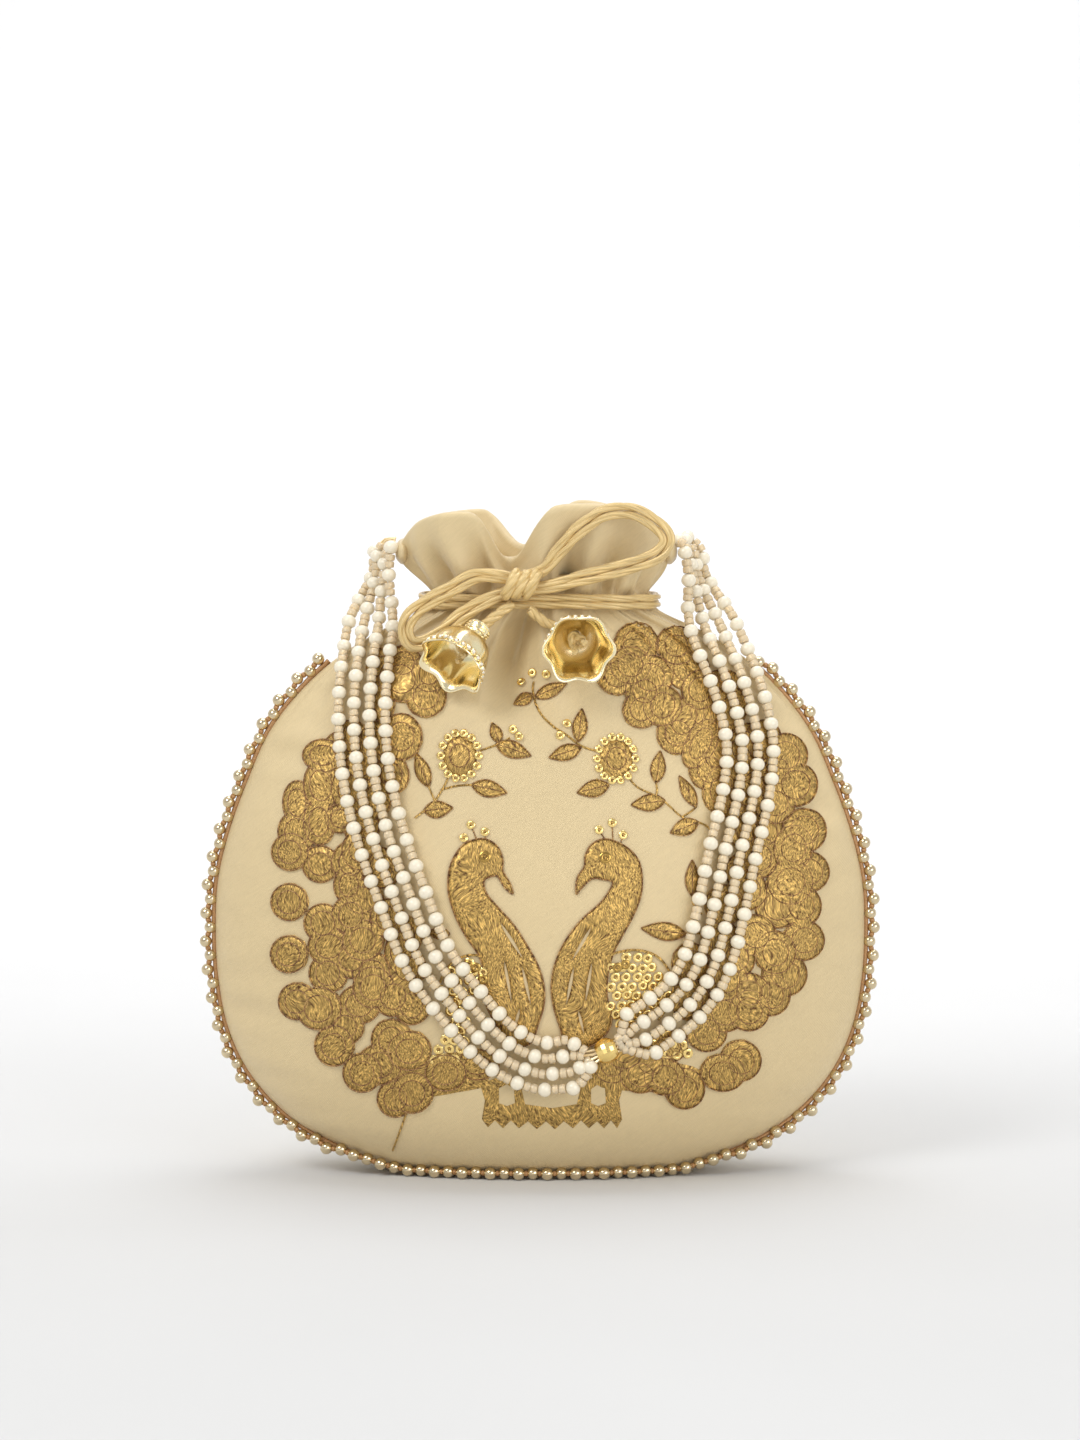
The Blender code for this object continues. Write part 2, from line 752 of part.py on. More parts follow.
def build_loop(name, marks, skin, satin):
    """One loop of the bow, a flat double cord that leaves the knot and returns to it."""
    neck = Vector((0, 0, NECK_HEIGHT))
    route = resample([neck + Vector((x, 0, z)) * MM for x, z in marks], 26)
    wide = CORD_WIDTH / 2
    thin = CORD_THICKNESS / 2
    out = Vector((0, -1, 0))
    seats = [seat(skin, point, out, thin + GAP).y for point in route]
    last = len(route) - 1
    near_knot = (seats[0] + seats[last]) / 2
    foremost = min(seats)
    path = []
    for i, point in enumerate(route):
        depth = mix(near_knot, foremost, smooth(0, 7, min(i, last - i)))
        path.append(Vector((point.x, depth, point.z)))

    def size(i):
        end = smooth(0, 5, min(i, last - i))
        return (mix(wide * 0.72, wide, end), thin)

    loop = sweep(name, path, size, satin, face=lambda i: Vector((0, -1, 0)))
    bring_forward(loop, skin)
    return loop


def main():
    for item in list(bpy.data.objects):
        bpy.data.objects.remove(item, do_unlink=True)
    cloth = material("champagne_satin", (0.64, 0.50, 0.29), 0.55)
    satin = material("gold_satin_cord", (0.72, 0.58, 0.33), 0.45)
    pearl = material("pearl_and_glass", (0.86, 0.80, 0.66), 0.25)
    gold = material("polished_gold", (0.85, 0.60, 0.18), 0.2, 1.0)
    metal = material("pale_gold_metal", (0.72, 0.62, 0.42), 0.22, 1.0)

    body = build_body(cloth)
    ruffle = build_ruffle(cloth)
    bag = skin_of(body, ruffle)
    build_border(bag, metal)
    neck_cord = build_neck_cord(bag, satin)
    tied = skin_of(body, ruffle, neck_cord)
    knot = build_knot(tied, satin)
    front = skin_of(body, ruffle, neck_cord, knot)

    # The bow's loops: distance from the middle and height over the neck, in millimetres
    left_loop = (
        (-14.2, 8.5),
        (-21, 8.6),
        (-28, 5),
        (-36, 0.5),
        (-42, -4),
        (-44.2, -9),
        (-42, -13.4),
        (-37.5, -13.2),
        (-31, -9),
        (-24.5, -3.5),
        (-14.4, 2),
    )
    right_loop = (
        (1.8, 11.2),
        (6, 16.5),
        (12.5, 23.5),
        (20.5, 29),
        (29, 30),
        (37.5, 26),
        (41.5, 20.5),
        (38, 15.5),
        (27, 11.5),
        (15, 8.5),
        (3, 5.2),
    )
    build_loop("left_loop", left_loop, front, satin)
    build_loop("right_loop", right_loop, front, satin)

    strands, bead_place = build_strands(bag, pearl)
    slider = build_slider(bead_place, gold)
    handle = axis_empty("handle_axis", HANDLE_AXIS)
    for piece in (*strands, slider):
        hang(piece, handle)

    out = Vector((0, -1, 0))
    neck = Vector((0, 0, NECK_HEIGHT))
    # Left bell: hangs from the knot and faces down to the left and forwards
    left_into = Vector((-0.46, -0.66, -0.6)).normalized()
    left_spot = Vector((-20, 0, -8.5)) * MM + neck
    left_top = seat(tied, left_spot, out, CROWN_DIAMETER / 2 + 2.2 * MM)
    left_pivot = seat(front, neck + Vector((-9, 0, -0.5)) * MM, out, TAIL_RADIUS + GAP)
    left_route = [
        left_pivot,
        left_pivot.lerp(left_top, 0.45) + Vector((0.4, 0, 0.6)) * MM,
        left_top - left_into * 2.2 * MM,
        left_top,
    ]
    left_tail = build_tail("left_tail", left_route, left_into, satin)
    left_bell = build_bell("left_bell", gold, aim(left_top, left_into))
    pivot_at(left_tail, left_pivot)
    hang(left_bell, left_tail)
    # Right bell: its mouth faces the front
    right_into = Vector((0.08, -0.96, -0.26)).normalized()
    right_spot = neck + Vector((11, 0, -9.5)) * MM
    right_top = seat(tied, right_spot, out, CROWN_DIAMETER / 2 + 1.2 * MM)
    right_pivot = seat(front, neck + Vector((-3.5, 0, -2.5)) * MM, out, TAIL_RADIUS + GAP)
    right_route = [
        right_pivot,
        right_pivot.lerp(right_top, 0.45) + Vector((0, 0, -1.5)) * MM,
        right_top - right_into * 2.2 * MM,
        right_top,
    ]
    right_tail = build_tail("right_tail", right_route, right_into, satin)
    right_bell = build_bell("right_bell", gold, aim(right_top, right_into))
    pivot_at(right_tail, right_pivot)
    hang(right_bell, right_tail)
    bpy.context.view_layer.update()
    for item in (left_tail, left_bell, right_tail, right_bell, slider):
        place = item.matrix_world
        print(item.name, [round(v, 5) for v in place.translation], [round(-place[i][2], 5) for i in range(3)])


main()
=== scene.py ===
"""A potli bag of champagne satin: gathered ruffle, drawstring bow with flower bells, antique-gold
embroidery, strung bead border and a handle of four pearl and glass bead strands."""

import math
import random

import bpy
import numpy as np
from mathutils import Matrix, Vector
from mathutils.bvhtree import BVHTree
from mathutils.geometry import delaunay_2d_cdt


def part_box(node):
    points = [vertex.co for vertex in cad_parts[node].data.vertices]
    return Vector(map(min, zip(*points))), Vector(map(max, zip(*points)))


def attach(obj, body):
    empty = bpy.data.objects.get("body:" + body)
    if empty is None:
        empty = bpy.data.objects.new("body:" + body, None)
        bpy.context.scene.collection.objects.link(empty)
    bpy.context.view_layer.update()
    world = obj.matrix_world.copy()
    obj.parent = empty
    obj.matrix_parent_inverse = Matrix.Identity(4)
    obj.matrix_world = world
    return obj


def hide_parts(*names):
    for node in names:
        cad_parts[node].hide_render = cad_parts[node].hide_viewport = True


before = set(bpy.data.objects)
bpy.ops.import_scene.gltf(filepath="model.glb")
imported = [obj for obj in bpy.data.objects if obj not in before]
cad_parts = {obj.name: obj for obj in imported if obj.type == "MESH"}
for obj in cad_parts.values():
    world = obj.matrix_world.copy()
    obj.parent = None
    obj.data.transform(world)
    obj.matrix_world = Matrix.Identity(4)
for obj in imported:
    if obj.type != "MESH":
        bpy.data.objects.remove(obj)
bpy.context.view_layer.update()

bl_info = {
    "name": "Potli bag",
    "version": (1, 0, 0),
    "blender": (4, 5, 0),
    "location": "View3D > Sidebar > Potli bag",
    "description": "Builds a gathered satin pouch with its embroidery, beads, bow and bells",
    "category": "Add Mesh",
}

MM = 0.001
MADE = {}

# ---- Camera ----

AIM = Vector((0, 0, 0.151))
EYE_DISTANCE = 1.333
EYE_LIFT = math.radians(4)
EYE = AIM + Vector((0, -math.cos(EYE_LIFT), math.sin(EYE_LIFT))) * EYE_DISTANCE

# ---- The cloth's form, the same as the solids' ----

SOLE_HALF_WIDTH = 52 * MM
SOLE_FRONT = 14 * MM
SOLE_BACK = 20 * MM
BELLY_HALF_WIDTH = 108.5 * MM
BELLY_HALF_DEPTH = 41 * MM
BELLY_HEIGHT = 80 * MM
SHOULDER_HALF_WIDTH = 67 * MM
SHOULDER_HALF_DEPTH = 19 * MM
SHOULDER_HEIGHT = 172 * MM
NECK_HALF_WIDTH = 35 * MM
NECK_HALF_DEPTH = 12.5 * MM
NECK_HEIGHT = 191 * MM
SEAM_SHARPNESS = 1.3
RUFFLE_LEFT = 46 * MM
RUFFLE_RIGHT = 43.5 * MM
RUFFLE_HALF_DEPTH = 23 * MM
RUFFLE_TOP = 223 * MM
RUFFLE_SIDE_TOP = 206 * MM
CLEFT_DROP = 19 * MM
CLEFT_ANGLE = math.acos(-9.7 / 46)
HANDLE_AXIS = Vector((0, 4.8, 207)) * MM


def mix(a, b, t):
    return a + (b - a) * t


def smooth(a, b, value):
    t = np.clip((value - a) / (b - a), 0.0, 1.0)
    return t * t * (3 - 2 * t)


def through(stations, at):
    """A smooth curve through rows of numbers, read at a value of their first column."""
    rows = [stations[0], *stations, stations[-1]]
    for i in range(1, len(rows) - 2):
        if at <= rows[i + 1][0] or i == len(rows) - 3:
            break
    before, start, end, after = rows[i - 1 : i + 3]
    span = end[0] - start[0]
    t = min(max((at - start[0]) / span, 0.0), 1.0)
    out = []
    for a, b, c, d in zip(before[1:], start[1:], end[1:], after[1:]):
        left = (c - a) / max(end[0] - before[0], 1e-9) * span
        right = (d - b) / max(after[0] - start[0], 1e-9) * span
        out.append(
            b * (2 * t**3 - 3 * t**2 + 1)
            + left * (t**3 - 2 * t**2 + t)
            + c * (3 * t**2 - 2 * t**3)
            + right * (t**3 - t**2)
        )
    return out


def body_stations():
    rows = []
    for height, width, depth in (
        (0.0, 0.0, 0.0),
        (0.05, 0.18, 0.24),
        (0.14, 0.42, 0.52),
        (0.26, 0.63, 0.74),
        (0.42, 0.815, 0.89),
        (0.60, 0.93, 0.97),
        (0.80, 0.985, 1.0),
        (1.0, 1.0, 0.98),
    ):
        rows.append(
            (
                height * BELLY_HEIGHT,
                mix(SOLE_HALF_WIDTH, BELLY_HALF_WIDTH, width),
                mix(SOLE_FRONT, BELLY_HALF_DEPTH, depth),
                mix(SOLE_BACK, BELLY_HALF_DEPTH, depth),
            )
        )
    for height, width, depth in (
        (0.19, 0.02, 0.11),
        (0.37, 0.115, 0.26),
        (0.55, 0.26, 0.44),
        (0.73, 0.44, 0.64),
        (0.88, 0.70, 0.84),
        (1.0, 1.0, 1.0),
    ):
        across = mix(BELLY_HALF_DEPTH, SHOULDER_HALF_DEPTH, depth)
        rows.append(
            (
                mix(BELLY_HEIGHT, SHOULDER_HEIGHT, height),
                mix(BELLY_HALF_WIDTH, SHOULDER_HALF_WIDTH, width),
                across,
                across,
            )
        )
    for height, width, depth in ((0.48, 0.47, 0.5), (0.8, 0.88, 0.84), (1.0, 1.0, 1.0)):
        across = mix(SHOULDER_HALF_DEPTH, NECK_HALF_DEPTH, depth)
        rows.append(
            (
                mix(SHOULDER_HEIGHT, NECK_HEIGHT, height),
                mix(SHOULDER_HALF_WIDTH, NECK_HALF_WIDTH, width),
                across,
                across,
            )
        )
    return rows


BODY = body_stations()

# Pleats that run down from the neck: angle in degrees, depth in mm, width in degrees and the
# height in mm where each ends
PLEATS = (
    (82, 1.9, 5, 140),
    (74, -2.4, 3.2, 152),
    (66, 1.7, 4.5, 138),
    (57, -2.6, 3.6, 136),
    (47, 1.6, 4.5, 146),
    (38, -2.2, 3.4, 142),
    (28, 1.4, 5, 150),
    (18, -1.5, 4, 158),
    (110, 2.2, 4, 146),
    (118, -2.4, 3, 150),
    (126, 1.6, 4, 140),
    (136, -2.3, 3.4, 138),
    (146, 1.6, 5, 148),
    (156, -1.8, 3.6, 150),
    (165, 1.0, 4, 160),
)
# The one deep fold in the cloth, under the bow's knot
FOLD_DEPTH = 6 * MM
FOLD_ANGLE = 97
FOLD_SPREAD = 8
FOLD_LENGTH = 42 * MM


def pleat(angle, height):
    """How far the cloth stands out of, or sinks under, its plain form, in metres."""
    turn = math.degrees(angle) % 360
    front = turn < 180
    turn = turn if front else 360 - turn
    out = 0.0
    for i, (at, depth, width, low) in enumerate(PLEATS):
        if not front:
            at, depth = 180 - at, depth * (0.55 + 0.2 * math.sin(3.1 * i))
        strength = float(smooth(low * MM, (NECK_HEIGHT + 1 * MM), height)) ** 1.2
        spread = width * mix(1.9, 1.0, strength)
        out += depth * MM * strength * math.exp(-(((turn - at) / spread) ** 2))
    return out


def knot_fold(angle, height):
    """How far the cloth sinks in under the knot: nothing at the neck cord, most just below it."""
    rise = float(smooth(NECK_HEIGHT - FOLD_LENGTH, NECK_HEIGHT - 0.4 * FOLD_LENGTH, height))
    fade = 1 - float(smooth(NECK_HEIGHT - 0.2 * FOLD_LENGTH, NECK_HEIGHT, height))
    centre = FOLD_ANGLE - 3 * (1 - rise) + 2.5 * math.sin(height / (9 * MM))
    away = (math.degrees(angle) - centre) / mix(FOLD_SPREAD * 1.5, FOLD_SPREAD * 0.8, rise)
    lip = math.exp(-(((away - 1.7) / 0.8) ** 2)) + math.exp(-(((away + 1.7) / 0.8) ** 2))
    return FOLD_DEPTH * fade * (1.15 * rise * math.exp(-(abs(away) ** 1.7)) - 0.16 * rise * lip)


def body_point(angle, height):
    width, front, back = through(BODY, height)
    depth = front if math.sin(angle) > 0 else back
    rise = math.copysign(abs(math.sin(angle)) ** SEAM_SHARPNESS, math.sin(angle))
    near = float(smooth(150 * MM, NECK_HEIGHT, height))
    fine = near * (0.05 * math.cos(24 * angle + 0.6) + 0.035 * math.cos(37 * angle + 2))
    sunk = knot_fold(angle, height) if math.sin(angle) > 0 else 0
    point = Vector((width * math.cos(angle), -depth * rise * (1 + fine) + sunk, height))
    lean = Vector((point.x / width**2, point.y / depth**2, 0)).normalized()
    return point + lean * pleat(angle, height) * abs(math.sin(angle)) ** 0.3


def crimp(angle):
    """Fine and broad uneven waves of the cloth round the drawn cord, in mm."""
    wander = 2.4 * math.sin(3 * angle + 1) + 1.5 * math.sin(7 * angle + 0.4)
    fine = abs(math.sin(21 * angle + wander)) ** 0.7 - 0.6
    broad = abs(math.sin(9.5 * angle + 1.1 + 0.8 * math.sin(2 * angle))) ** 0.75 - 0.6
    return 1.4 * fine, 2.5 * broad


def gathers(angle, height):
    """Fine uneven pleats that the drawn cord makes in the cloth, and the crease under the knot."""
    near = float(smooth(139 * MM, 188 * MM, height))
    fine, broad = crimp(angle)
    out = fine * near**1.3 + broad * near
    away = (math.degrees(angle) - 97 - 1.8 * math.sin(height / (8 * MM))) / 3.4
    crease = float(smooth(150 * MM, 172 * MM, height))
    crease *= 1 - float(smooth(185 * MM, 190 * MM, height))
    return (out - 4.8 * crease * math.exp(-(away**2))) * MM


def dimple(point):
    """Soft wide hollows and swells of a stuffed bag, and short puckers along its seam."""
    x, z = point.x / MM, point.z / MM
    side = 1 if point.y > 0 else 0
    level = (
        0.9 * math.sin(x / 17 + 0.7 + 2 * side) * math.sin(z / 19 + 1.1)
        + 0.5 * math.sin(x / 9.5 - z / 13 + side)
        + 0.35 * math.sin(z / 7.5 + x / 23 + 2.2)
    )
    away = smooth(0, 25, z) * smooth(0, 0.3, abs(point.y) / BELLY_HALF_DEPTH)
    width = through(BODY, min(max(point.z, 0), NECK_HEIGHT))[0] / MM
    inset = width - abs(x)
    wave = math.sin(z / 2.9 + 1.6 * math.sin(z / 11 + side) + (1.3 if x > 0 else 0))
    wave += 0.6 * math.sin(z / 1.7 + x / 40 + side)
    rim = smooth(0.4, 5, inset) * (1 - smooth(9, 34 + 9 * math.sin(z / 9), inset))
    pucker = wave * rim * smooth(2, 20, z) * (0.55 + 0.45 * math.sin(z / 23 + 1 + x / 90))
    crinkle = math.sin(x / 5.3 + 2.2 * math.sin(z / 14 + side)) * math.sin(z / 4.1 + x / 8 + side)
    return (
        float(level * away) * 0.62 * MM
        + float(pucker) * 0.55 * MM
        + float(crinkle * away) * 0.1 * MM
    )


# Folds of the ruffle: angle and width in degrees, depth in mm, share of the height that they reach
RUFFLE_FOLDS = (
    (118, -3.4, 5.5, 0.9), (130, 3.0, 8, 1.2), (144, -3.0, 6, 0.8), (157, 1.8, 7, 1.1),
    (168, -1.6, 5, 0.7), (88, 1.8, 6, 1.1), (77, -3.0, 5, 0.75), (65, 2.4, 8, 1.2),
    (51, -3.0, 6, 0.8), (38, 2.0, 7, 1.1), (25, -2.0, 6, 0.7), (12, 1.0, 5, 0.9),
)


def ruffle_point(angle, rise):
    """The ruffle's outer face, from the neck to the hem, puffed into two lobes by the cleft."""
    neck = body_point(angle, NECK_HEIGHT)
    side = RUFFLE_RIGHT if math.cos(angle) > 0 else RUFFLE_LEFT
    wide = 1 - (1 - rise) ** 1.9
    width = mix(NECK_HALF_WIDTH, side, wide)
    depth = mix(NECK_HALF_DEPTH, RUFFLE_HALF_DEPTH, rise**0.7)

    def cleft(centre, spread):
        away = (angle - centre + math.pi) % (2 * math.pi) - math.pi
        return math.exp(-((away / spread) ** 2))

    dip = max(cleft(CLEFT_ANGLE, 0.17), 0.8 * cleft(math.radians(265), 0.2))
    swell = abs(math.sin(angle))
    lift = math.copysign(swell ** mix(SEAM_SHARPNESS, 1.0, rise), math.sin(angle))
    hem = mix(RUFFLE_SIDE_TOP, RUFFLE_TOP, swell**0.7) - CLEFT_DROP * dip
    hem -= 1.5 * MM * (1 + math.cos(3 * angle + 0.5)) * swell**2 * (1 - dip)
    gathered = (neck - Vector((0, 0, neck.z))) * (1 - rise) ** 2
    plain = Vector((width * math.cos(angle), -depth * lift, 0)) * (1 - (1 - rise) ** 2)
    place = gathered + plain
    place.y *= 1 - 0.74 * dip * float(smooth(0.1, 0.8, rise))
    turn = math.degrees(angle) % 360
    front = turn < 180
    out = 0.0
    for i, (at, deep, spread, reach) in enumerate(RUFFLE_FOLDS):
        if not front:
            at, deep = 355 - at, deep * (0.6 + 0.3 * math.sin(2.3 * i))
        share = float(smooth(0, 0.18, rise)) * (1 - 0.8 * float(smooth(0.35 * reach, reach, rise)))
        lean = at + 5 * math.sin(1.7 * i) * rise
        across = spread * mix(0.8, 1.3, rise)
        out += deep * MM * share * math.exp(-(((turn - lean) / across) ** 2))
    out *= 1 + 0.75 * swell
    fine, broad = crimp(angle)
    fade = (1 - float(smooth(0.1, 0.75, rise))) * swell**0.5
    out += (fine + broad) * fade * MM
    out += 0.7 * MM * math.sin(9 * angle + 5 * rise) * rise
    away = Vector((place.x / width**2, place.y / depth**2, 0))
    place += away.normalized() * out * (1 - 0.6 * dip)
    place.z = mix(neck.z, hem, rise)
    return place


# ---- Meshes from arrays ----


class Heap:
    """Gathers points and faces of many small shapes into one mesh."""

    def __init__(self):
        self.points, self.faces, self.slots, self.uvs = [], [], [], []
        self.count = 0

    def add(self, points, faces, slot=0, uvs=None):
        self.points.append(np.asarray(points, float).reshape(-1, 3))
        base = self.count
        self.faces += [tuple(base + i for i in face) for face in faces]
        self.slots += [slot] * len(faces)
        self.uvs.append(uvs if uvs is not None else np.zeros((len(self.points[-1]), 2)))
        self.count += len(self.points[-1])

    def make(self, name, materials, smooth_angle=60):
        mesh = bpy.data.meshes.new(name)
        mesh.from_pydata(np.concatenate(self.points).tolist(), [], self.faces)
        mesh.polygons.foreach_set("material_index", self.slots)
        layer = mesh.uv_layers.new(name="along")
        corner = np.zeros(len(mesh.loops), np.int32)
        mesh.loops.foreach_get("vertex_index", corner)
        layer.data.foreach_set("uv", np.concatenate(self.uvs)[corner].ravel().astype(np.float32))
        for look in materials:
            mesh.materials.append(look)
        mesh.update()
        mesh.shade_smooth()
        if smooth_angle:
            mesh.set_sharp_from_angle(angle=math.radians(smooth_angle))
        made = bpy.data.objects.new(name, mesh)
        bpy.context.scene.collection.objects.link(made)
        MADE[name] = made
        return made


def ring_faces(rows, sides, closed=False, caps=True):
    """Faces between rings of points that follow one another in one list."""
    faces = []
    for r in range(rows if closed else rows - 1):
        a, b = r * sides, ((r + 1) % rows) * sides
        for i in range(sides):
            j = (i + 1) % sides
            faces.append((a + i, a + j, b + j, b + i))
    if caps and not closed:
        faces.append(tuple(range(sides))[::-1])
        faces.append(tuple((rows - 1) * sides + i for i in range(sides)))
    return faces


def turned(profile, sides):
    """A lathe form about Z from (radius, height) pairs: points and faces."""
    angles = np.arange(sides) * 2 * math.pi / sides
    points = [
        (r * math.cos(a), r * math.sin(a), z) for r, z in profile for a in angles
    ]
    return np.array(points), ring_faces(len(profile), sides)


def ball(radius, sides=14, rows=9, stretch=1.0):
    tilts = [math.pi * (i + 0.5) / rows for i in range(rows)]
    return turned(
        [(radius * math.sin(t), -radius * stretch * math.cos(t)) for t in tilts], sides
    )


def turn_to(axis):
    """The rotation that takes Z to this axis, as an array."""
    quat = Vector(axis).normalized().to_track_quat("Z", "Y")
    return np.array(quat.to_matrix())


def placed(points, centre, axis):
    return points @ turn_to(axis).T + np.array(centre)


def resample(points, count):
    """Evenly spaced points along a smooth curve through the route's points."""
    rows = [(0.0, *points[0])]
    for a, b in zip(points, points[1:]):
        rows.append((rows[-1][0] + (b - a).length, *b))
    fine = [Vector(through(rows, rows[-1][0] * i / 600)) for i in range(601)]
    run = [0.0]
    for a, b in zip(fine, fine[1:]):
        run.append(run[-1] + (b - a).length)
    out, k = [], 0
    for i in range(count):
        goal = run[-1] * i / (count - 1)
        while k < 599 and run[k + 1] < goal:
            k += 1
        t = (goal - run[k]) / max(run[k + 1] - run[k], 1e-12)
        out.append(fine[k].lerp(fine[k + 1], min(max(t, 0.0), 1.0)))
    return out


def length_of(points):
    return sum((b - a).length for a, b in zip(points, points[1:]))


def carried(path, closed=False, face=None):
    """For each point of a path its side, the way across it and the run so far; then the whole run.
    The side turns as little as it can, or looks the way that face says."""
    last = len(path) - 1
    side, run, frames = None, 0.0, []
    for i, point in enumerate(path):
        ahead = path[(i + 1) % len(path)] if closed else path[min(i + 1, last)]
        behind = path[i - 1] if closed else path[max(i - 1, 0)]
        along = (ahead - behind).normalized()
        looks = face(i) if callable(face) else face or side or along.orthogonal()
        side = (looks - along * looks.dot(along)).normalized()
        frames.append((side, along.cross(side), run))
        run += (path[min(i + 1, last)] - point).length
    return frames, run


def tube(heap, path, radius, sides=10, slot=0, face=None, closed=False, twist=0.0):
    """Adds a cord along a path. radius is a number or a function of the point's number that gives
    (across, through); face is the way the flat side looks."""
    rings, uvs = [], []
    for i, (side, across, run) in enumerate(carried(path, closed, face)[0]):
        point = path[i]
        wide, thin = radius(i) if callable(radius) else (radius, radius)
        for k in range(sides):
            turn = 2 * math.pi * (k + 0.5) / sides + twist * i
            rings.append(point + across * wide * math.cos(turn) + side * thin * math.sin(turn))
            uvs.append((k / sides, run / MM))
    heap.add([tuple(p) for p in rings], ring_faces(len(path), sides, closed), slot, np.array(uvs))


# ---- Materials ----


def node(tree, kind, inputs=None, **settings):
    made = tree.nodes.new(kind)
    for key, value in settings.items():
        setattr(made, key, value)
    for key, value in (inputs or {}).items():
        socket = made.inputs[key]
        if isinstance(value, bpy.types.NodeSocket):
            tree.links.new(value, socket)
        else:
            socket.default_value = value
    return made


def worked(tree, operation, a, b):
    """The result of one sum on two values or sockets."""
    return node(tree, "ShaderNodeMath", {0: a, 1: b}, operation=operation).outputs[0]


def ramp(tree, fac, stops):
    made = node(tree, "ShaderNodeValToRGB", {"Fac": fac})
    points = made.color_ramp.elements
    while len(points) < len(stops):
        points.new(0.5)
    for point, (at, color) in zip(points, stops):
        point.position = at
        point.color = (*color, 1)
    return made.outputs["Color"]


def group(name, inputs, outputs):
    """A shader node group with named sockets: the group, its input node and its output node."""
    tree = bpy.data.node_groups.new(name, "ShaderNodeTree")
    for label, kind, value in inputs:
        socket = tree.interface.new_socket(label, in_out="INPUT", socket_type=kind)
        if value is not None:
            socket.default_value = value
    for label, kind in outputs:
        tree.interface.new_socket(label, in_out="OUTPUT", socket_type=kind)
    return tree, tree.nodes.new("NodeGroupInput"), tree.nodes.new("NodeGroupOutput")


def weave_group():
    """Fine crossing threads: a height and a slight change of colour."""
    tree, given, gives = group(
        "Satin weave",
        [("Scale", "NodeSocketFloat", 1500.0), ("Slub", "NodeSocketFloat", 0.5)],
        [("Height", "NodeSocketFloat"), ("Shade", "NodeSocketFloat")],
    )
    where = node(tree, "ShaderNodeTexCoord").outputs["Object"]
    turned_coords = node(
        tree, "ShaderNodeMapping", {"Vector": where, "Rotation": (0, math.radians(38), 0)}
    ).outputs["Vector"]
    waves = []
    for axis in ("X", "Z"):
        wave = node(
            tree,
            "ShaderNodeTexWave",
            {
                "Vector": turned_coords,
                "Scale": given.outputs["Scale"],
                "Distortion": 1.2,
                "Detail": 1.0,
                "Detail Scale": 0.4,
            },
            bands_direction=axis,
        )
        waves.append(wave.outputs["Fac"])
    crossed = worked(tree, "MAXIMUM", *waves)
    slub = node(
        tree,
        "ShaderNodeTexNoise",
        {
            "Vector": node(
                tree, "ShaderNodeMapping", {"Vector": turned_coords, "Scale": (1, 1, 7)}
            ).outputs["Vector"],
            "Scale": 260.0,
            "Detail": 3.0,
        },
    ).outputs["Fac"]
    uneven = worked(tree, "MULTIPLY", slub, given.outputs["Slub"])
    tree.links.new(worked(tree, "ADD", crossed, uneven), gives.inputs["Height"])
    tree.links.new(slub, gives.inputs["Shade"])
    return tree


def speckle_group():
    """Short metallic stitches seen as long thin flecks of three tones."""
    tree, given, gives = group(
        "Stitch flecks",
        [("Size", "NodeSocketFloat", 1.0)],
        [("Tone", "NodeSocketFloat"), ("Height", "NodeSocketFloat")],
    )
    where = node(tree, "ShaderNodeTexCoord").outputs["Object"]
    bend = node(
        tree, "ShaderNodeTexNoise", {"Vector": where, "Scale": 55.0, "Detail": 1.0}
    ).outputs["Color"]
    swirl = node(
        tree, "ShaderNodeVectorMath", {0: bend, 1: (0.02, 0.02, 0.02)}, operation="MULTIPLY"
    ).outputs["Vector"]
    moved = node(
        tree, "ShaderNodeVectorMath", {0: where, 1: swirl}, operation="ADD"
    ).outputs["Vector"]
    tones = []
    for tilt, stretch in ((38, 2.0), (-42, 1.8)):
        lay = node(
            tree,
            "ShaderNodeMapping",
            {
                "Vector": moved,
                "Rotation": (0, math.radians(tilt), 0),
                "Scale": (stretch, 1, 0.75),
            },
        ).outputs["Vector"]
        size = worked(tree, "MULTIPLY", given.outputs["Size"], 1150.0)
        flecks = node(
            tree,
            "ShaderNodeTexNoise",
            {"Vector": lay, "Scale": size, "Detail": 2.0, "Roughness": 0.6},
        )
        tones.append(flecks.outputs["Fac"])
    half = worked(tree, "MULTIPLY", worked(tree, "ADD", *tones), 0.5)
    tree.links.new(half, gives.inputs["Tone"])
    tree.links.new(tones[0], gives.inputs["Height"])
    return tree


def used(tree, shared, **inputs):
    made = tree.nodes.new("ShaderNodeGroup")
    made.node_tree = shared
    for key, value in inputs.items():
        made.inputs[key].default_value = value
    return made


def new_material(name, roughness=0.5, metallic=0.0, **constants):
    made = bpy.data.materials.new(name)
    made.use_nodes = True
    shader = made.node_tree.nodes["Principled BSDF"]
    shader.inputs["Roughness"].default_value = roughness
    shader.inputs["Metallic"].default_value = metallic
    for key, value in constants.items():
        shader.inputs[key.replace("_", " ")].default_value = value
    return made, made.node_tree, shader


def bump(tree, shader, height, strength, distance):
    made = node(
        tree,
        "ShaderNodeBump",
        {"Height": height, "Strength": strength, "Distance": distance},
    )
    tree.links.new(made.outputs["Normal"], shader.inputs["Normal"])


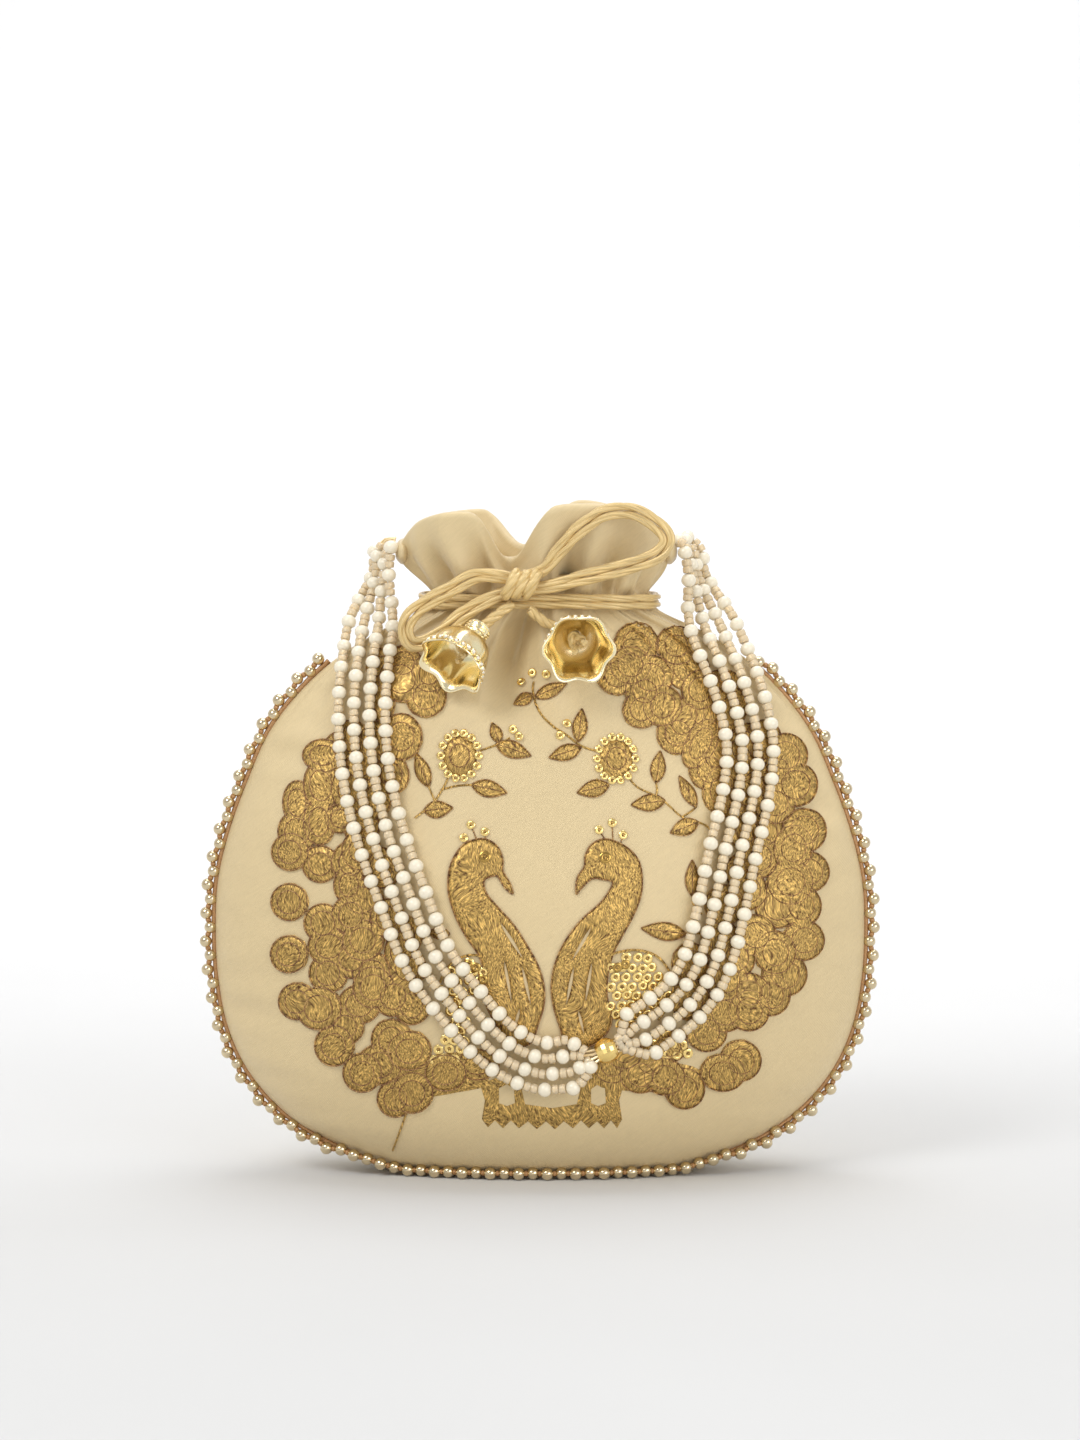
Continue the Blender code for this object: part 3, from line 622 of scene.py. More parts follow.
def build_materials(colors):
    """Every finish of the bag, in a table by name."""
    weave, flecks = weave_group(), speckle_group()
    looks = {}

    look, tree, shader = new_material(
        "champagne satin", 0.42, Sheen_Weight=0.25, Sheen_Roughness=0.4, Specular_IOR_Level=0.45
    )
    threads = used(tree, weave, Scale=520.0, Slub=0.25)
    base = Vector(colors.satin)
    tint = ramp(
        tree,
        threads.outputs["Shade"],
        [(0.3, tuple(base * 0.96)), (0.55, tuple(base)), (0.75, tuple(base * 1.03))],
    )
    tree.links.new(tint, shader.inputs["Base Color"])
    bump(tree, shader, threads.outputs["Height"], 0.5, 0.0001)
    looks["satin"] = look

    look, tree, shader = new_material("antique gold thread", 0.36, 0.6)
    stitches = used(tree, flecks, Size=1.0)
    gold = Vector(colors.thread)
    tint = ramp(
        tree,
        stitches.outputs["Tone"],
        [
            (0.36, (0.10, 0.035, 0.012)),
            (0.45, tuple(gold * 0.62)),
            (0.53, tuple(gold)),
            (0.62, tuple(gold * 1.8)),
        ],
    )
    tree.links.new(tint, shader.inputs["Base Color"])
    bump(tree, shader, stitches.outputs["Height"], 0.7, 0.0004)
    looks["thread"] = look

    look, tree, shader = new_material("brown outline thread", 0.5, 0.25)
    stitches = used(tree, flecks, Size=0.8)
    tint = ramp(
        tree,
        stitches.outputs["Tone"],
        [(0.4, (0.10, 0.04, 0.014)), (0.5, (0.27, 0.13, 0.045)), (0.6, (0.55, 0.34, 0.12))],
    )
    tree.links.new(tint, shader.inputs["Base Color"])
    bump(tree, shader, stitches.outputs["Height"], 0.6, 0.0003)
    looks["outline"] = look

    def tinted(name, color, roughness, metallic, spread=0.08, scale=300.0, **constants):
        look, tree, shader = new_material(name, roughness, metallic, **constants)
        where = node(tree, "ShaderNodeTexCoord").outputs["Object"]
        cloud = node(
            tree, "ShaderNodeTexNoise", {"Vector": where, "Scale": scale, "Detail": 3.0}
        ).outputs["Fac"]
        base = Vector(color)
        tint = ramp(
            tree,
            cloud,
            [(0.3, tuple(base * (1 - spread))), (0.7, tuple(base * (1 + spread)))],
        )
        tree.links.new(tint, shader.inputs["Base Color"])
        worn = node(
            tree,
            "ShaderNodeMapRange",
            {"Value": cloud, "To Min": roughness * 0.8, "To Max": roughness * 1.3},
        )
        tree.links.new(worn.outputs["Result"], shader.inputs["Roughness"])
        return look

    looks["sequin"] = tinted("gold sequin", (0.95, 0.70, 0.26), 0.16, 1.0)
    looks["old_gold"] = tinted("old gold sequin", (0.46, 0.29, 0.08), 0.2, 1.0)
    looks["bell"] = tinted("polished gold", colors.bell, 0.17, 1.0, 0.06, 120.0)
    looks["border"] = tinted("pale gold bead", (0.70, 0.58, 0.38), 0.09, 1.0)
    looks["pearl"] = tinted(
        "ivory pearl", colors.pearl, 0.24, 0.0, 0.04, 900.0, Coat_Weight=0.6, Coat_Roughness=0.12
    )
    looks["stone"] = tinted(
        "clear stone", (0.92, 0.88, 0.80), 0.06, 0.3, 0.05, 500.0, Coat_Weight=1.0
    )
    looks["lining"] = tinted("peach gold lining", (0.97, 0.76, 0.43), 0.2, 0.3, 0.1, 1500.0)
    looks["navy"] = tinted(
        "navy glass", (0.02, 0.035, 0.07), 0.12, 0.0, 0.2, 800.0, Coat_Weight=1.0
    )
    looks["copper"] = tinted("copper gimp", (0.46, 0.25, 0.105), 0.42, 0.35, 0.3, 2500.0)
    looks["glass"] = tinted(
        "clear seed glass", (1.0, 0.87, 0.63), 0.05, 0.0, 0.03, 600.0,
        Transmission_Weight=0.5, IOR=1.5,
    )

    look, tree, shader = new_material(
        "satin cord", 0.22, 0.15, Sheen_Weight=0.2, Sheen_Roughness=0.3, Specular_IOR_Level=0.7
    )
    along = node(tree, "ShaderNodeUVMap", uv_map="along").outputs["UV"]
    streak = node(
        tree, "ShaderNodeMapping",
        {"Vector": along, "Scale": (13, 0.05, 1), "Rotation": (0, 0, 0.012)},
    ).outputs["Vector"]
    # Streaks along the cord's fibres: the light ones are painted sheen and the dark ones painted
    # shade in the creases, over a slightly uneven fibre tone.
    fibre_sheen_and_shade = node(
        tree, "ShaderNodeTexNoise",
        {"Vector": streak, "Scale": 1.6, "Detail": 4.0, "Roughness": 0.65},
    ).outputs["Fac"]
    base = Vector(colors.cord)
    tint = ramp(
        tree,
        fibre_sheen_and_shade,
        [(0.3, tuple(base * 0.55)), (0.47, tuple(base * 0.92)), (0.66, tuple(base * 1.2))],
    )
    tree.links.new(tint, shader.inputs["Base Color"])
    bump(tree, shader, fibre_sheen_and_shade, 0.45, 0.0002)
    looks["cord"] = look
    return looks


# ---- Settings ----


class PotliColors(bpy.types.PropertyGroup):
    satin: bpy.props.FloatVectorProperty(
        name="Satin", description="Colour of the bag's cloth", subtype="COLOR",
        default=(0.69, 0.545, 0.305), min=0, max=1,
    )
    thread: bpy.props.FloatVectorProperty(
        name="Thread", description="Colour of the embroidery thread", subtype="COLOR",
        default=(0.52, 0.33, 0.095), min=0, max=1,
    )
    cord: bpy.props.FloatVectorProperty(
        name="Cord", description="Colour of the drawstring", subtype="COLOR",
        default=(0.74, 0.54, 0.235), min=0, max=1,
    )
    bell: bpy.props.FloatVectorProperty(
        name="Bells", description="Colour of the flower bells", subtype="COLOR",
        default=(1.0, 0.86, 0.55), min=0, max=1,
    )
    pearl: bpy.props.FloatVectorProperty(
        name="Pearls", description="Colour of the handle's pearls", subtype="COLOR",
        default=(0.87, 0.79, 0.62), min=0, max=1,
    )


class PotliSizes(bpy.types.PropertyGroup):
    pearl: bpy.props.FloatProperty(
        name="Pearl", description="Diameter of a pearl", default=5.0 * MM, min=0.003,
        max=0.0055, unit="LENGTH",
    )
    seed: bpy.props.FloatProperty(
        name="Seed bead", description="Diameter of a seed bead", default=3.4 * MM,
        min=0.002, max=0.004, unit="LENGTH",
    )
    seed_length: bpy.props.FloatProperty(
        name="Seed length", description="Length of a seed bead", default=2.25 * MM,
        min=0.001, max=0.004, unit="LENGTH",
    )
    border_bead: bpy.props.FloatProperty(
        name="Border bead", description="Diameter of a border bead", default=4.2 * MM,
        min=0.002, max=0.005, unit="LENGTH",
    )
    border_pitch: bpy.props.FloatProperty(
        name="Border pitch", description="Distance between border beads along the seam",
        default=4.7 * MM, min=0.004, max=0.01, unit="LENGTH",
    )
    stitch_height: bpy.props.FloatProperty(
        name="Stitch height", description="How far the embroidery stands off the cloth",
        default=0.7 * MM, min=0.0002, max=0.002, unit="LENGTH",
    )
    sequin: bpy.props.FloatProperty(
        name="Sequin", description="Diameter of a sequin ring", default=3.4 * MM,
        min=0.002, max=0.006, unit="LENGTH",
    )


# ---- The cloth ----

AROUND = 420


def build_cloth(look):
    """The bag from its sole to the ruffle's hem and down inside the ruffle, as one cloth."""
    turns = [2 * math.pi * i / AROUND for i in range(AROUND)]
    rows = [[body_point(angle, 0) * share for angle in turns] for share in (0.35, 0.7, 0.9)]
    for ring in rows:
        for point in ring:
            point.z = 0
    heights = [0, 0.5, 1.2, 2.2, 3.5, 5, 7, 9.5, 12.5]
    heights += list(np.linspace(16, 140, 62)) + list(np.linspace(142, 191, 44))
    for height in heights:
        ring = []
        for angle in turns:
            point = body_point(angle, height * MM)
            out = Vector((point.x * 0.2, point.y, 0))
            if out.length > 1e-6:
                point += out.normalized() * (dimple(point) + gathers(angle, height * MM))
            ring.append(point)
        rows.append(ring)
    for rise in np.linspace(0, 1, 34)[1:]:
        rows.append([ruffle_point(angle, float(rise)) for angle in turns])
    roll = 1.8 * MM
    edge = rows[-1]

    def moved_in(ring, by):
        out = []
        for i, point in enumerate(ring):
            along = ring[(i + 2) % AROUND] - ring[i - 2]
            out.append(point + Vector((along.y, -along.x, 0)).normalized() * by)
        return out

    # The hem is folded over, so its edge is round and soft
    for turn in (0.5, 1.0, 1.57, 2.1, 2.6):
        rim = moved_in(edge, roll * (1 - math.cos(turn)))
        for point in rim:
            point.z += roll * math.sin(turn)
        rows.append(rim)
    for rise in np.linspace(1, 0.3, 20):
        ring = [ruffle_point(angle, float(rise)) for angle in turns]
        rows.append(moved_in(ring, roll * mix(1.0, 2.0, float(rise))))
    heap = Heap()
    heap.add([tuple(p) for ring in rows for p in ring], ring_faces(len(rows), AROUND))
    return heap.make("bag_cloth", [look], 0)


def skin_of(*objects):
    points, faces = [], []
    for item in objects:
        base = len(points)
        points += [item.matrix_world @ v.co for v in item.data.vertices]
        faces += [[base + i for i in face.vertices] for face in item.data.polygons]
    return BVHTree.FromPolygons(points, faces)


def seat(skin, point, out, clearance):
    """Moves a point straight out from the skin until it has this clearance all round."""
    out = out.normalized()
    hit = skin.ray_cast(point + out * 0.3, -out)[0]
    start = hit if hit else point
    for i in range(450):
        here = start + out * (clearance * 0.6 + 0.2 * MM * i)
        if skin.find_nearest(here)[3] >= clearance:
            return here
    return start + out * clearance


# ---- The embroidery pattern, drawn on a grid of a third of a millimetre seen from the front ----

GRID_MIDDLE_U, GRID_MIDDLE_V = 540, 720
GRID_PER_MM = 3


def on_cloth(skin, u, v):
    """The cloth's point and normal under a grid place, as seen from the front."""
    right = Vector((1, 0, 0))
    ahead = (AIM - EYE).normalized()
    up = right.cross(ahead)
    target = AIM + right * ((u - GRID_MIDDLE_U) / GRID_PER_MM * MM)
    target += up * ((GRID_MIDDLE_V - v) / GRID_PER_MM * MM)
    hit, normal, _, _ = skin.ray_cast(EYE, (target - EYE).normalized())
    if hit is None:
        return None, None
    return hit, normal if normal.y < 0 else -normal


def rounded(points, per=6, closed=True):
    """A smooth outline through given points."""
    count = len(points)
    out = []
    spans = count if closed else count - 1
    for i in range(spans):
        if closed:
            a, b, c, d = (points[(i + k) % count] for k in (-1, 0, 1, 2))
        else:
            a, b, c, d = (points[min(max(i + k, 0), count - 1)] for k in (-1, 0, 1, 2))
        for k in range(per):
            t = k / per
            out.append(
                tuple(
                    0.5
                    * (
                        2 * q
                        + (r - p) * t
                        + (2 * p - 5 * q + 4 * r - s) * t * t
                        + (3 * q - p - 3 * r + s) * t**3
                    )
                    for p, q, r, s in zip(a, b, c, d)
                )
            )
    if not closed:
        out.append(points[-1])
    return out


def spun(u, v, x, y, turn):
    """The place (x, y), turned by an angle and then moved to (u, v)."""
    return u + x * math.cos(turn) - y * math.sin(turn), v + x * math.sin(turn) + y * math.cos(turn)


def disc(u, v, wide, high, lean=0, points=26):
    turn = math.radians(lean)
    out = []
    for i in range(points):
        a = 2 * math.pi * i / points
        x, y = wide / 2 * math.cos(a), high / 2 * math.sin(a)
        out.append(spun(u, v, x, y, turn))
    return out


def leaf(u, v, length, width, lean):
    """A pointed leaf that grows from (u, v) at an angle in degrees."""
    turn = math.radians(lean)
    out = []
    for t, side in [(i / 8, 1) for i in range(9)] + [(i / 8, -1) for i in range(7, 0, -1)]:
        x = length * t
        y = side * width / 2 * math.sin(math.pi * t**0.85) ** 0.9 if 0 < t < 1 else 0
        out.append(spun(u, v, x, y, turn))
    return out


def grown(u, v, tip_u, tip_v, width):
    """A leaf from its foot to its tip."""
    lean = math.degrees(math.atan2(tip_v - v, tip_u - u))
    return leaf(u, v, math.hypot(tip_u - u, tip_v - v), width, lean)


def edge_distance(samples, outline):
    """Distance of each sample to the outline, below zero outside it."""
    a = np.asarray(outline, float)
    b = np.roll(a, -1, axis=0)
    best = np.full(len(samples), 1e9)
    inside = np.zeros(len(samples), bool)
    for (ax, ay), (bx, by) in zip(a, b):
        dx, dy = bx - ax, by - ay
        span = dx * dx + dy * dy + 1e-12
        t = np.clip(((samples[:, 0] - ax) * dx + (samples[:, 1] - ay) * dy) / span, 0, 1)
        gap = np.hypot(samples[:, 0] - ax - t * dx, samples[:, 1] - ay - t * dy)
        best = np.minimum(best, gap)
        cross = (ay > samples[:, 1]) != (by > samples[:, 1])
        with np.errstate(divide="ignore", invalid="ignore"):
            at = (bx - ax) * (samples[:, 1] - ay) / (by - ay) + ax
        inside ^= cross & (samples[:, 0] < at)
    return np.where(inside, best, -best)


def patch(heap, skin, outline, height, slot=0, cell=2.6, lift=0.0, crown=5.0, holes=()):
    """A raised pad of stitches with the given outline, laid on the cloth: its middle is a grid and
    its rim follows the outline exactly."""
    line = np.asarray(outline, float)
    low, high = line.min(0), line.max(0)
    grid = np.array(
        [
            (x + (0.5 * cell if r % 2 else 0), y)
            for r, y in enumerate(np.arange(low[1], high[1], cell * 0.87))
            for x in np.arange(low[0], high[0], cell)
        ]
    )
    reach = edge_distance(grid, line)
    for hole in holes:
        reach = np.minimum(reach, -edge_distance(grid, np.asarray(hole, float)))
    grid = grid[reach > cell * 0.55]
    every = [Vector(p) for p in line.tolist()]
    rims = [list(range(len(line)))]
    for hole in holes:
        base = len(every)
        every += [Vector(p) for p in hole]
        rims.append(list(range(base, len(every))))
    every += [Vector(p) for p in grid.tolist()]
    points, _, faces, _, _, _ = delaunay_2d_cdt(every, [], rims, 1 if not holes else 2, 1e-4)
    flat = np.array([(p.x, p.y) for p in points])
    away = edge_distance(flat, line)
    for hole in holes:
        away = np.minimum(away, -edge_distance(flat, np.asarray(hole, float)))
    away = np.maximum(away, 0)
    rise = np.sqrt(np.clip(away / crown, 0, 1)) * height
    tops, feet = [], []
    for (u, v), up in zip(flat, rise):
        place, normal = on_cloth(skin, float(u), float(v))
        if place is None:
            return
        tops.append(place + normal * (0.12 * MM + lift + up))
        feet.append(place - normal * 0.15 * MM)
    centres = np.array([flat[list(face)].mean(0) for face in faces])
    good = edge_distance(centres, line) >= 0
    for hole in holes:
        good &= edge_distance(centres, np.asarray(hole, float)) <= 0
    kept = [tuple(face)[::-1] for face, fine in zip(faces, good) if fine]
    count = len(tops)
    edges = {}
    for face in kept:
        for a, b in zip(face, face[1:] + face[:1]):
            edges[(a, b)] = edges.get((a, b), 0) + 1
    walls = [(b, a, a + count, b + count) for a, b in edges if (b, a) not in edges]
    used_feet = sorted({i for wall in walls for i in wall if i >= count})
    number = {i: count + k for k, i in enumerate(used_feet)}
    walls = [tuple(number.get(i, i) for i in wall) for wall in walls]
    everything = [tuple(p) for p in tops] + [tuple(feet[i - count]) for i in used_feet]
    heap.add(everything, kept + walls, slot)


def stem(heap, skin, points, width=0.7 * MM, slot=0, closed=False, lift=0.0):
    """A line of stitches along given points, on the cloth or on a pad of this height."""
    route = []
    for u, v in rounded(points, 5, closed):
        place, normal = on_cloth(skin, u, v)
        if place is None:
            continue
        route.append(place + normal * (width * 0.35 + lift))
    if len(route) > 2:
        half = width / 2
        tube(heap, route, lambda i: (half, half * 0.8), 5, slot, closed=closed)


def sequin(heap, skin, u, v, size, slot, knot_slot, lift=0.0, tilt=0.0):
    """A ring sequin held by a stitch through its middle."""
    place, normal = on_cloth(skin, u, v)
    if place is None:
        return
    facing = (normal + Vector((tilt, 0, tilt * 0.5))).normalized()
    outer, inner, thick = size / 2, size / 2 * 0.36, 0.24 * MM
    profile = [
        (inner, 0), (mix(inner, outer, 0.25), thick), (mix(inner, outer, 0.7), thick * 0.8),
        (outer, 0), (mix(inner, outer, 0.5), -thick * 0.3),
    ]
    angles = np.arange(12) * math.pi / 6
    ring = np.array([(r * math.cos(a), r * math.sin(a), z) for r, z in profile for a in angles])
    centre = place + normal * (0.45 * MM + lift)
    heap.add(placed(ring, centre, facing), ring_faces(5, 12, closed=True), slot)
    points, faces = ball(inner * 0.8, 6, 4, 0.6)
    heap.add(placed(points, centre, facing), faces, knot_slot)


# Outlines of the two birds
RIGHT_BIRD = (
    (591, 845), (603, 839), (617, 842), (630, 850), (639, 862), (642, 880), (640, 898),
    (632, 918), (622, 936), (613, 954), (608, 974), (607, 996), (612, 1019), (603, 1037),
    (585, 1048), (567, 1045), (559, 1025), (553, 1005), (551, 985), (555, 963), (565, 941),
    (581, 920), (600, 903), (610, 889), (612, 882), (605, 880), (592, 879), (581, 889),
    (576, 894), (577, 878), (584, 867), (585, 856),
)
LEFT_BIRD = (
    (468, 842), (485, 839), (498, 847), (503, 860), (503, 871), (510, 883), (513, 894),
    (505, 888), (498, 877), (494, 876), (486, 879), (484, 884), (487, 894), (498, 907),
    (514, 925), (527, 945), (538, 965), (544, 985), (544, 1005), (538, 1025), (532, 1041),
    (520, 1046), (505, 1037), (489, 1012), (486, 1001), (485, 979), (482, 965), (478, 954),
    (467, 938), (457, 920), (450, 900), (448, 885), (450, 867), (458, 851),
)

# Tail feathers of the right bird, from its back upwards: place, width, height, lean
TAIL_RIGHT = (
    (684, 1088, 42, 42, 0), (640, 1074, 42, 38, 0), (664, 1076, 42, 38, 0),
    (722, 1072, 46, 38, 0), (612, 1064, 38, 38, 0), (650, 1062, 40, 35, 0),
    (740, 1060, 42, 42, 0), (624, 1052, 37, 33, 0), (668, 1046, 40, 33, 0),
    (706, 1031, 42, 42, 0), (724, 1012, 44, 40, 0), (748, 1010, 42, 42, 0),
    (690, 1000, 40, 42, 0), (770, 995, 40, 42, 0), (748, 992, 42, 40, 0), (726, 979, 42, 42, 0),
    (784, 974, 46, 46, 0), (690, 962, 38, 40, 0), (736, 958, 38, 42, 0), (774, 952, 42, 44, 0),
    (720, 940, 40, 42, 0), (803, 940, 42, 42, 0), (755, 935, 42, 42, 0), (724, 905, 40, 42, 0),
    (777, 906, 46, 46, 0), (800, 906, 42, 44, 0), (748, 890, 37, 42, 0), (789, 882, 46, 46, 0),
    (745, 872, 40, 42, 0), (808, 872, 42, 42, 0), (760, 858, 35, 42, 0), (792, 848, 40, 46, 10),
    (764, 833, 42, 42, 0), (745, 828, 36, 46, 0), (803, 831, 46, 46, 0), (774, 804, 42, 42, 0),
    (736, 800, 40, 42, 0), (720, 790, 36, 48, 10), (752, 786, 33, 46, 10), (794, 785, 46, 46, 0),
    (709, 770, 42, 42, 0), (740, 770, 40, 42, 0), (776, 772, 36, 44, 20), (784, 756, 46, 46, 0),
    (716, 752, 36, 53, 20), (742, 746, 33, 48, 20), (700, 744, 31, 55, 28), (762, 740, 38, 40, 0),
    (677, 734, 42, 42, 0), (684, 720, 36, 53, 28), (641, 710, 38, 38, 0), (662, 706, 40, 42, 20),
    (704, 712, 46, 46, 0), (728, 712, 36, 51, 20), (644, 692, 40, 38, 0), (700, 690, 38, 42, 30),
    (722, 690, 42, 42, 0), (617, 675, 42, 42, 0), (650, 678, 46, 46, 0), (630, 666, 42, 38, 0),
    (687, 668, 46, 46, 0), (636, 645, 46, 46, 0), (676, 646, 42, 38, 30),
)
TAIL_LEFT = (
    (396, 1098, 38, 38, 0), (413, 1092, 42, 42, 0), (363, 1072, 40, 40, 0),
    (446, 1072, 42, 37, 0), (380, 1064, 46, 42, 0), (478, 1064, 44, 31, 0),
    (410, 1050, 44, 40, 0), (335, 1045, 40, 42, 0), (392, 1039, 42, 42, 0),
    (346, 1026, 38, 38, 0), (298, 1001, 38, 38, 0), (320, 1008, 46, 44, 0),
    (360, 1004, 44, 40, 0), (412, 1005, 38, 40, 0), (394, 996, 42, 42, 0), (374, 987, 42, 42, 0),
    (329, 973, 40, 40, 0), (373, 972, 42, 40, 0), (408, 968, 38, 40, 0), (290, 954, 38, 38, 0),
    (352, 958, 40, 42, 0), (330, 946, 44, 40, 0), (402, 952, 35, 42, 0), (364, 940, 42, 42, 0),
    (404, 935, 38, 42, 0), (324, 923, 40, 40, 0), (352, 915, 40, 42, 0), (388, 918, 35, 40, 0),
    (290, 902, 38, 38, 0), (362, 900, 46, 44, 0), (350, 885, 32, 40, 0), (382, 868, 38, 42, 0),
    (321, 864, 38, 38, 0), (352, 862, 40, 44, 0), (291, 852, 38, 38, 0), (362, 850, 40, 42, 0),
    (298, 832, 40, 44, 0), (362, 826, 36, 48, 0), (320, 822, 32, 48, 0), (341, 819, 30, 30, 0),
    (298, 803, 30, 46, 0), (372, 800, 40, 42, 0), (322, 786, 36, 51, -5), (350, 790, 36, 49, 0),
    (334, 775, 38, 38, 0), (392, 775, 36, 40, 0), (360, 765, 40, 42, 0), (324, 756, 42, 34, 0),
    (342, 752, 36, 42, -20), (352, 740, 38, 40, 0), (380, 742, 40, 42, 0), (402, 737, 42, 48, 0),
    (382, 700, 28, 46, 0), (426, 697, 42, 42, 0), (402, 680, 46, 46, 0), (430, 674, 36, 38, 0),
    (385, 668, 38, 40, 0), (404, 664, 38, 38, -15),
)

SLITS_RIGHT = (
    (592, 926, 571, 962, 3.4), (574, 966, 566, 1006, 3.4), (592, 962, 585, 1004, 3.2),
    (578, 1010, 584, 1034, 3.0),
)
SLITS_LEFT = (
    (500, 922, 524, 960, 3.4), (522, 966, 531, 1006, 3.4), (504, 960, 512, 1004, 3.2),
    (520, 1008, 514, 1030, 3.0),
)

# Leaves: foot, tip and width
LEAVES = (
    (533, 695, 514, 705, 12), (535, 698, 567, 683, 14), (578, 742, 582, 709, 15),
    (581, 748, 549, 758, 16), (500, 743, 492, 723, 12), (496, 744, 531, 756, 17),
    (472, 785, 507, 793, 17), (429, 787, 416, 753, 15), (424, 811, 453, 808, 17),
    (609, 785, 577, 793, 17), (656, 783, 660, 751, 15), (665, 801, 631, 805, 17),
    (696, 807, 679, 776, 13), (698, 822, 670, 833, 17), (686, 934, 641, 928, 18),
    (692, 896, 692, 860, 14), (450, 934, 428, 932, 12),
)

STEMS = (
    (
        (534, 682), (533, 690), (535, 701), (537, 707), (543, 717), (555, 728), (565, 734),
        (581, 746), (596, 751),
    ),
    ((480, 751), (499, 744), (510, 738)),
    ((450, 773), (445, 785), (435, 801), (424, 811), (415, 818)),
    ((441, 790), (457, 786), (472, 785)),
    ((435, 801), (432, 794), (429, 787)),
    ((596, 779), (604, 784), (609, 785)),
    ((627, 775), (637, 787), (656, 796), (666, 803), (682, 817), (698, 822)),
    ((656, 796), (657, 790), (656, 783)),
    ((682, 817), (690, 812), (696, 807)),
    ((698, 822), (706, 826), (712, 832)),
    ((686, 934), (696, 933), (708, 936)),
    ((692, 896), (694, 906), (702, 914)),
    ((407, 1112), (400, 1131), (393, 1150)),
)

# Crest sequins and the feet of their stalks
CREST = (
    (464, 838, 472, 848), (471, 825, 478, 843), (485, 832, 486, 842), (599, 830, 606, 841),
    (612, 823, 613, 841), (623, 835, 620, 845),
)

LOOSE_SEQUINS = (
    (533, 673), (522, 683), (547, 674), (567, 724), (560, 736), (513, 730), (519, 737),
)
DARK_SEQUINS = (
    (485, 857), (605, 858), (617, 967), (625, 964), (469, 965), (476, 967), (483, 979),
)


ROSETTES = ((460, 756, 46), (616, 759, 44))


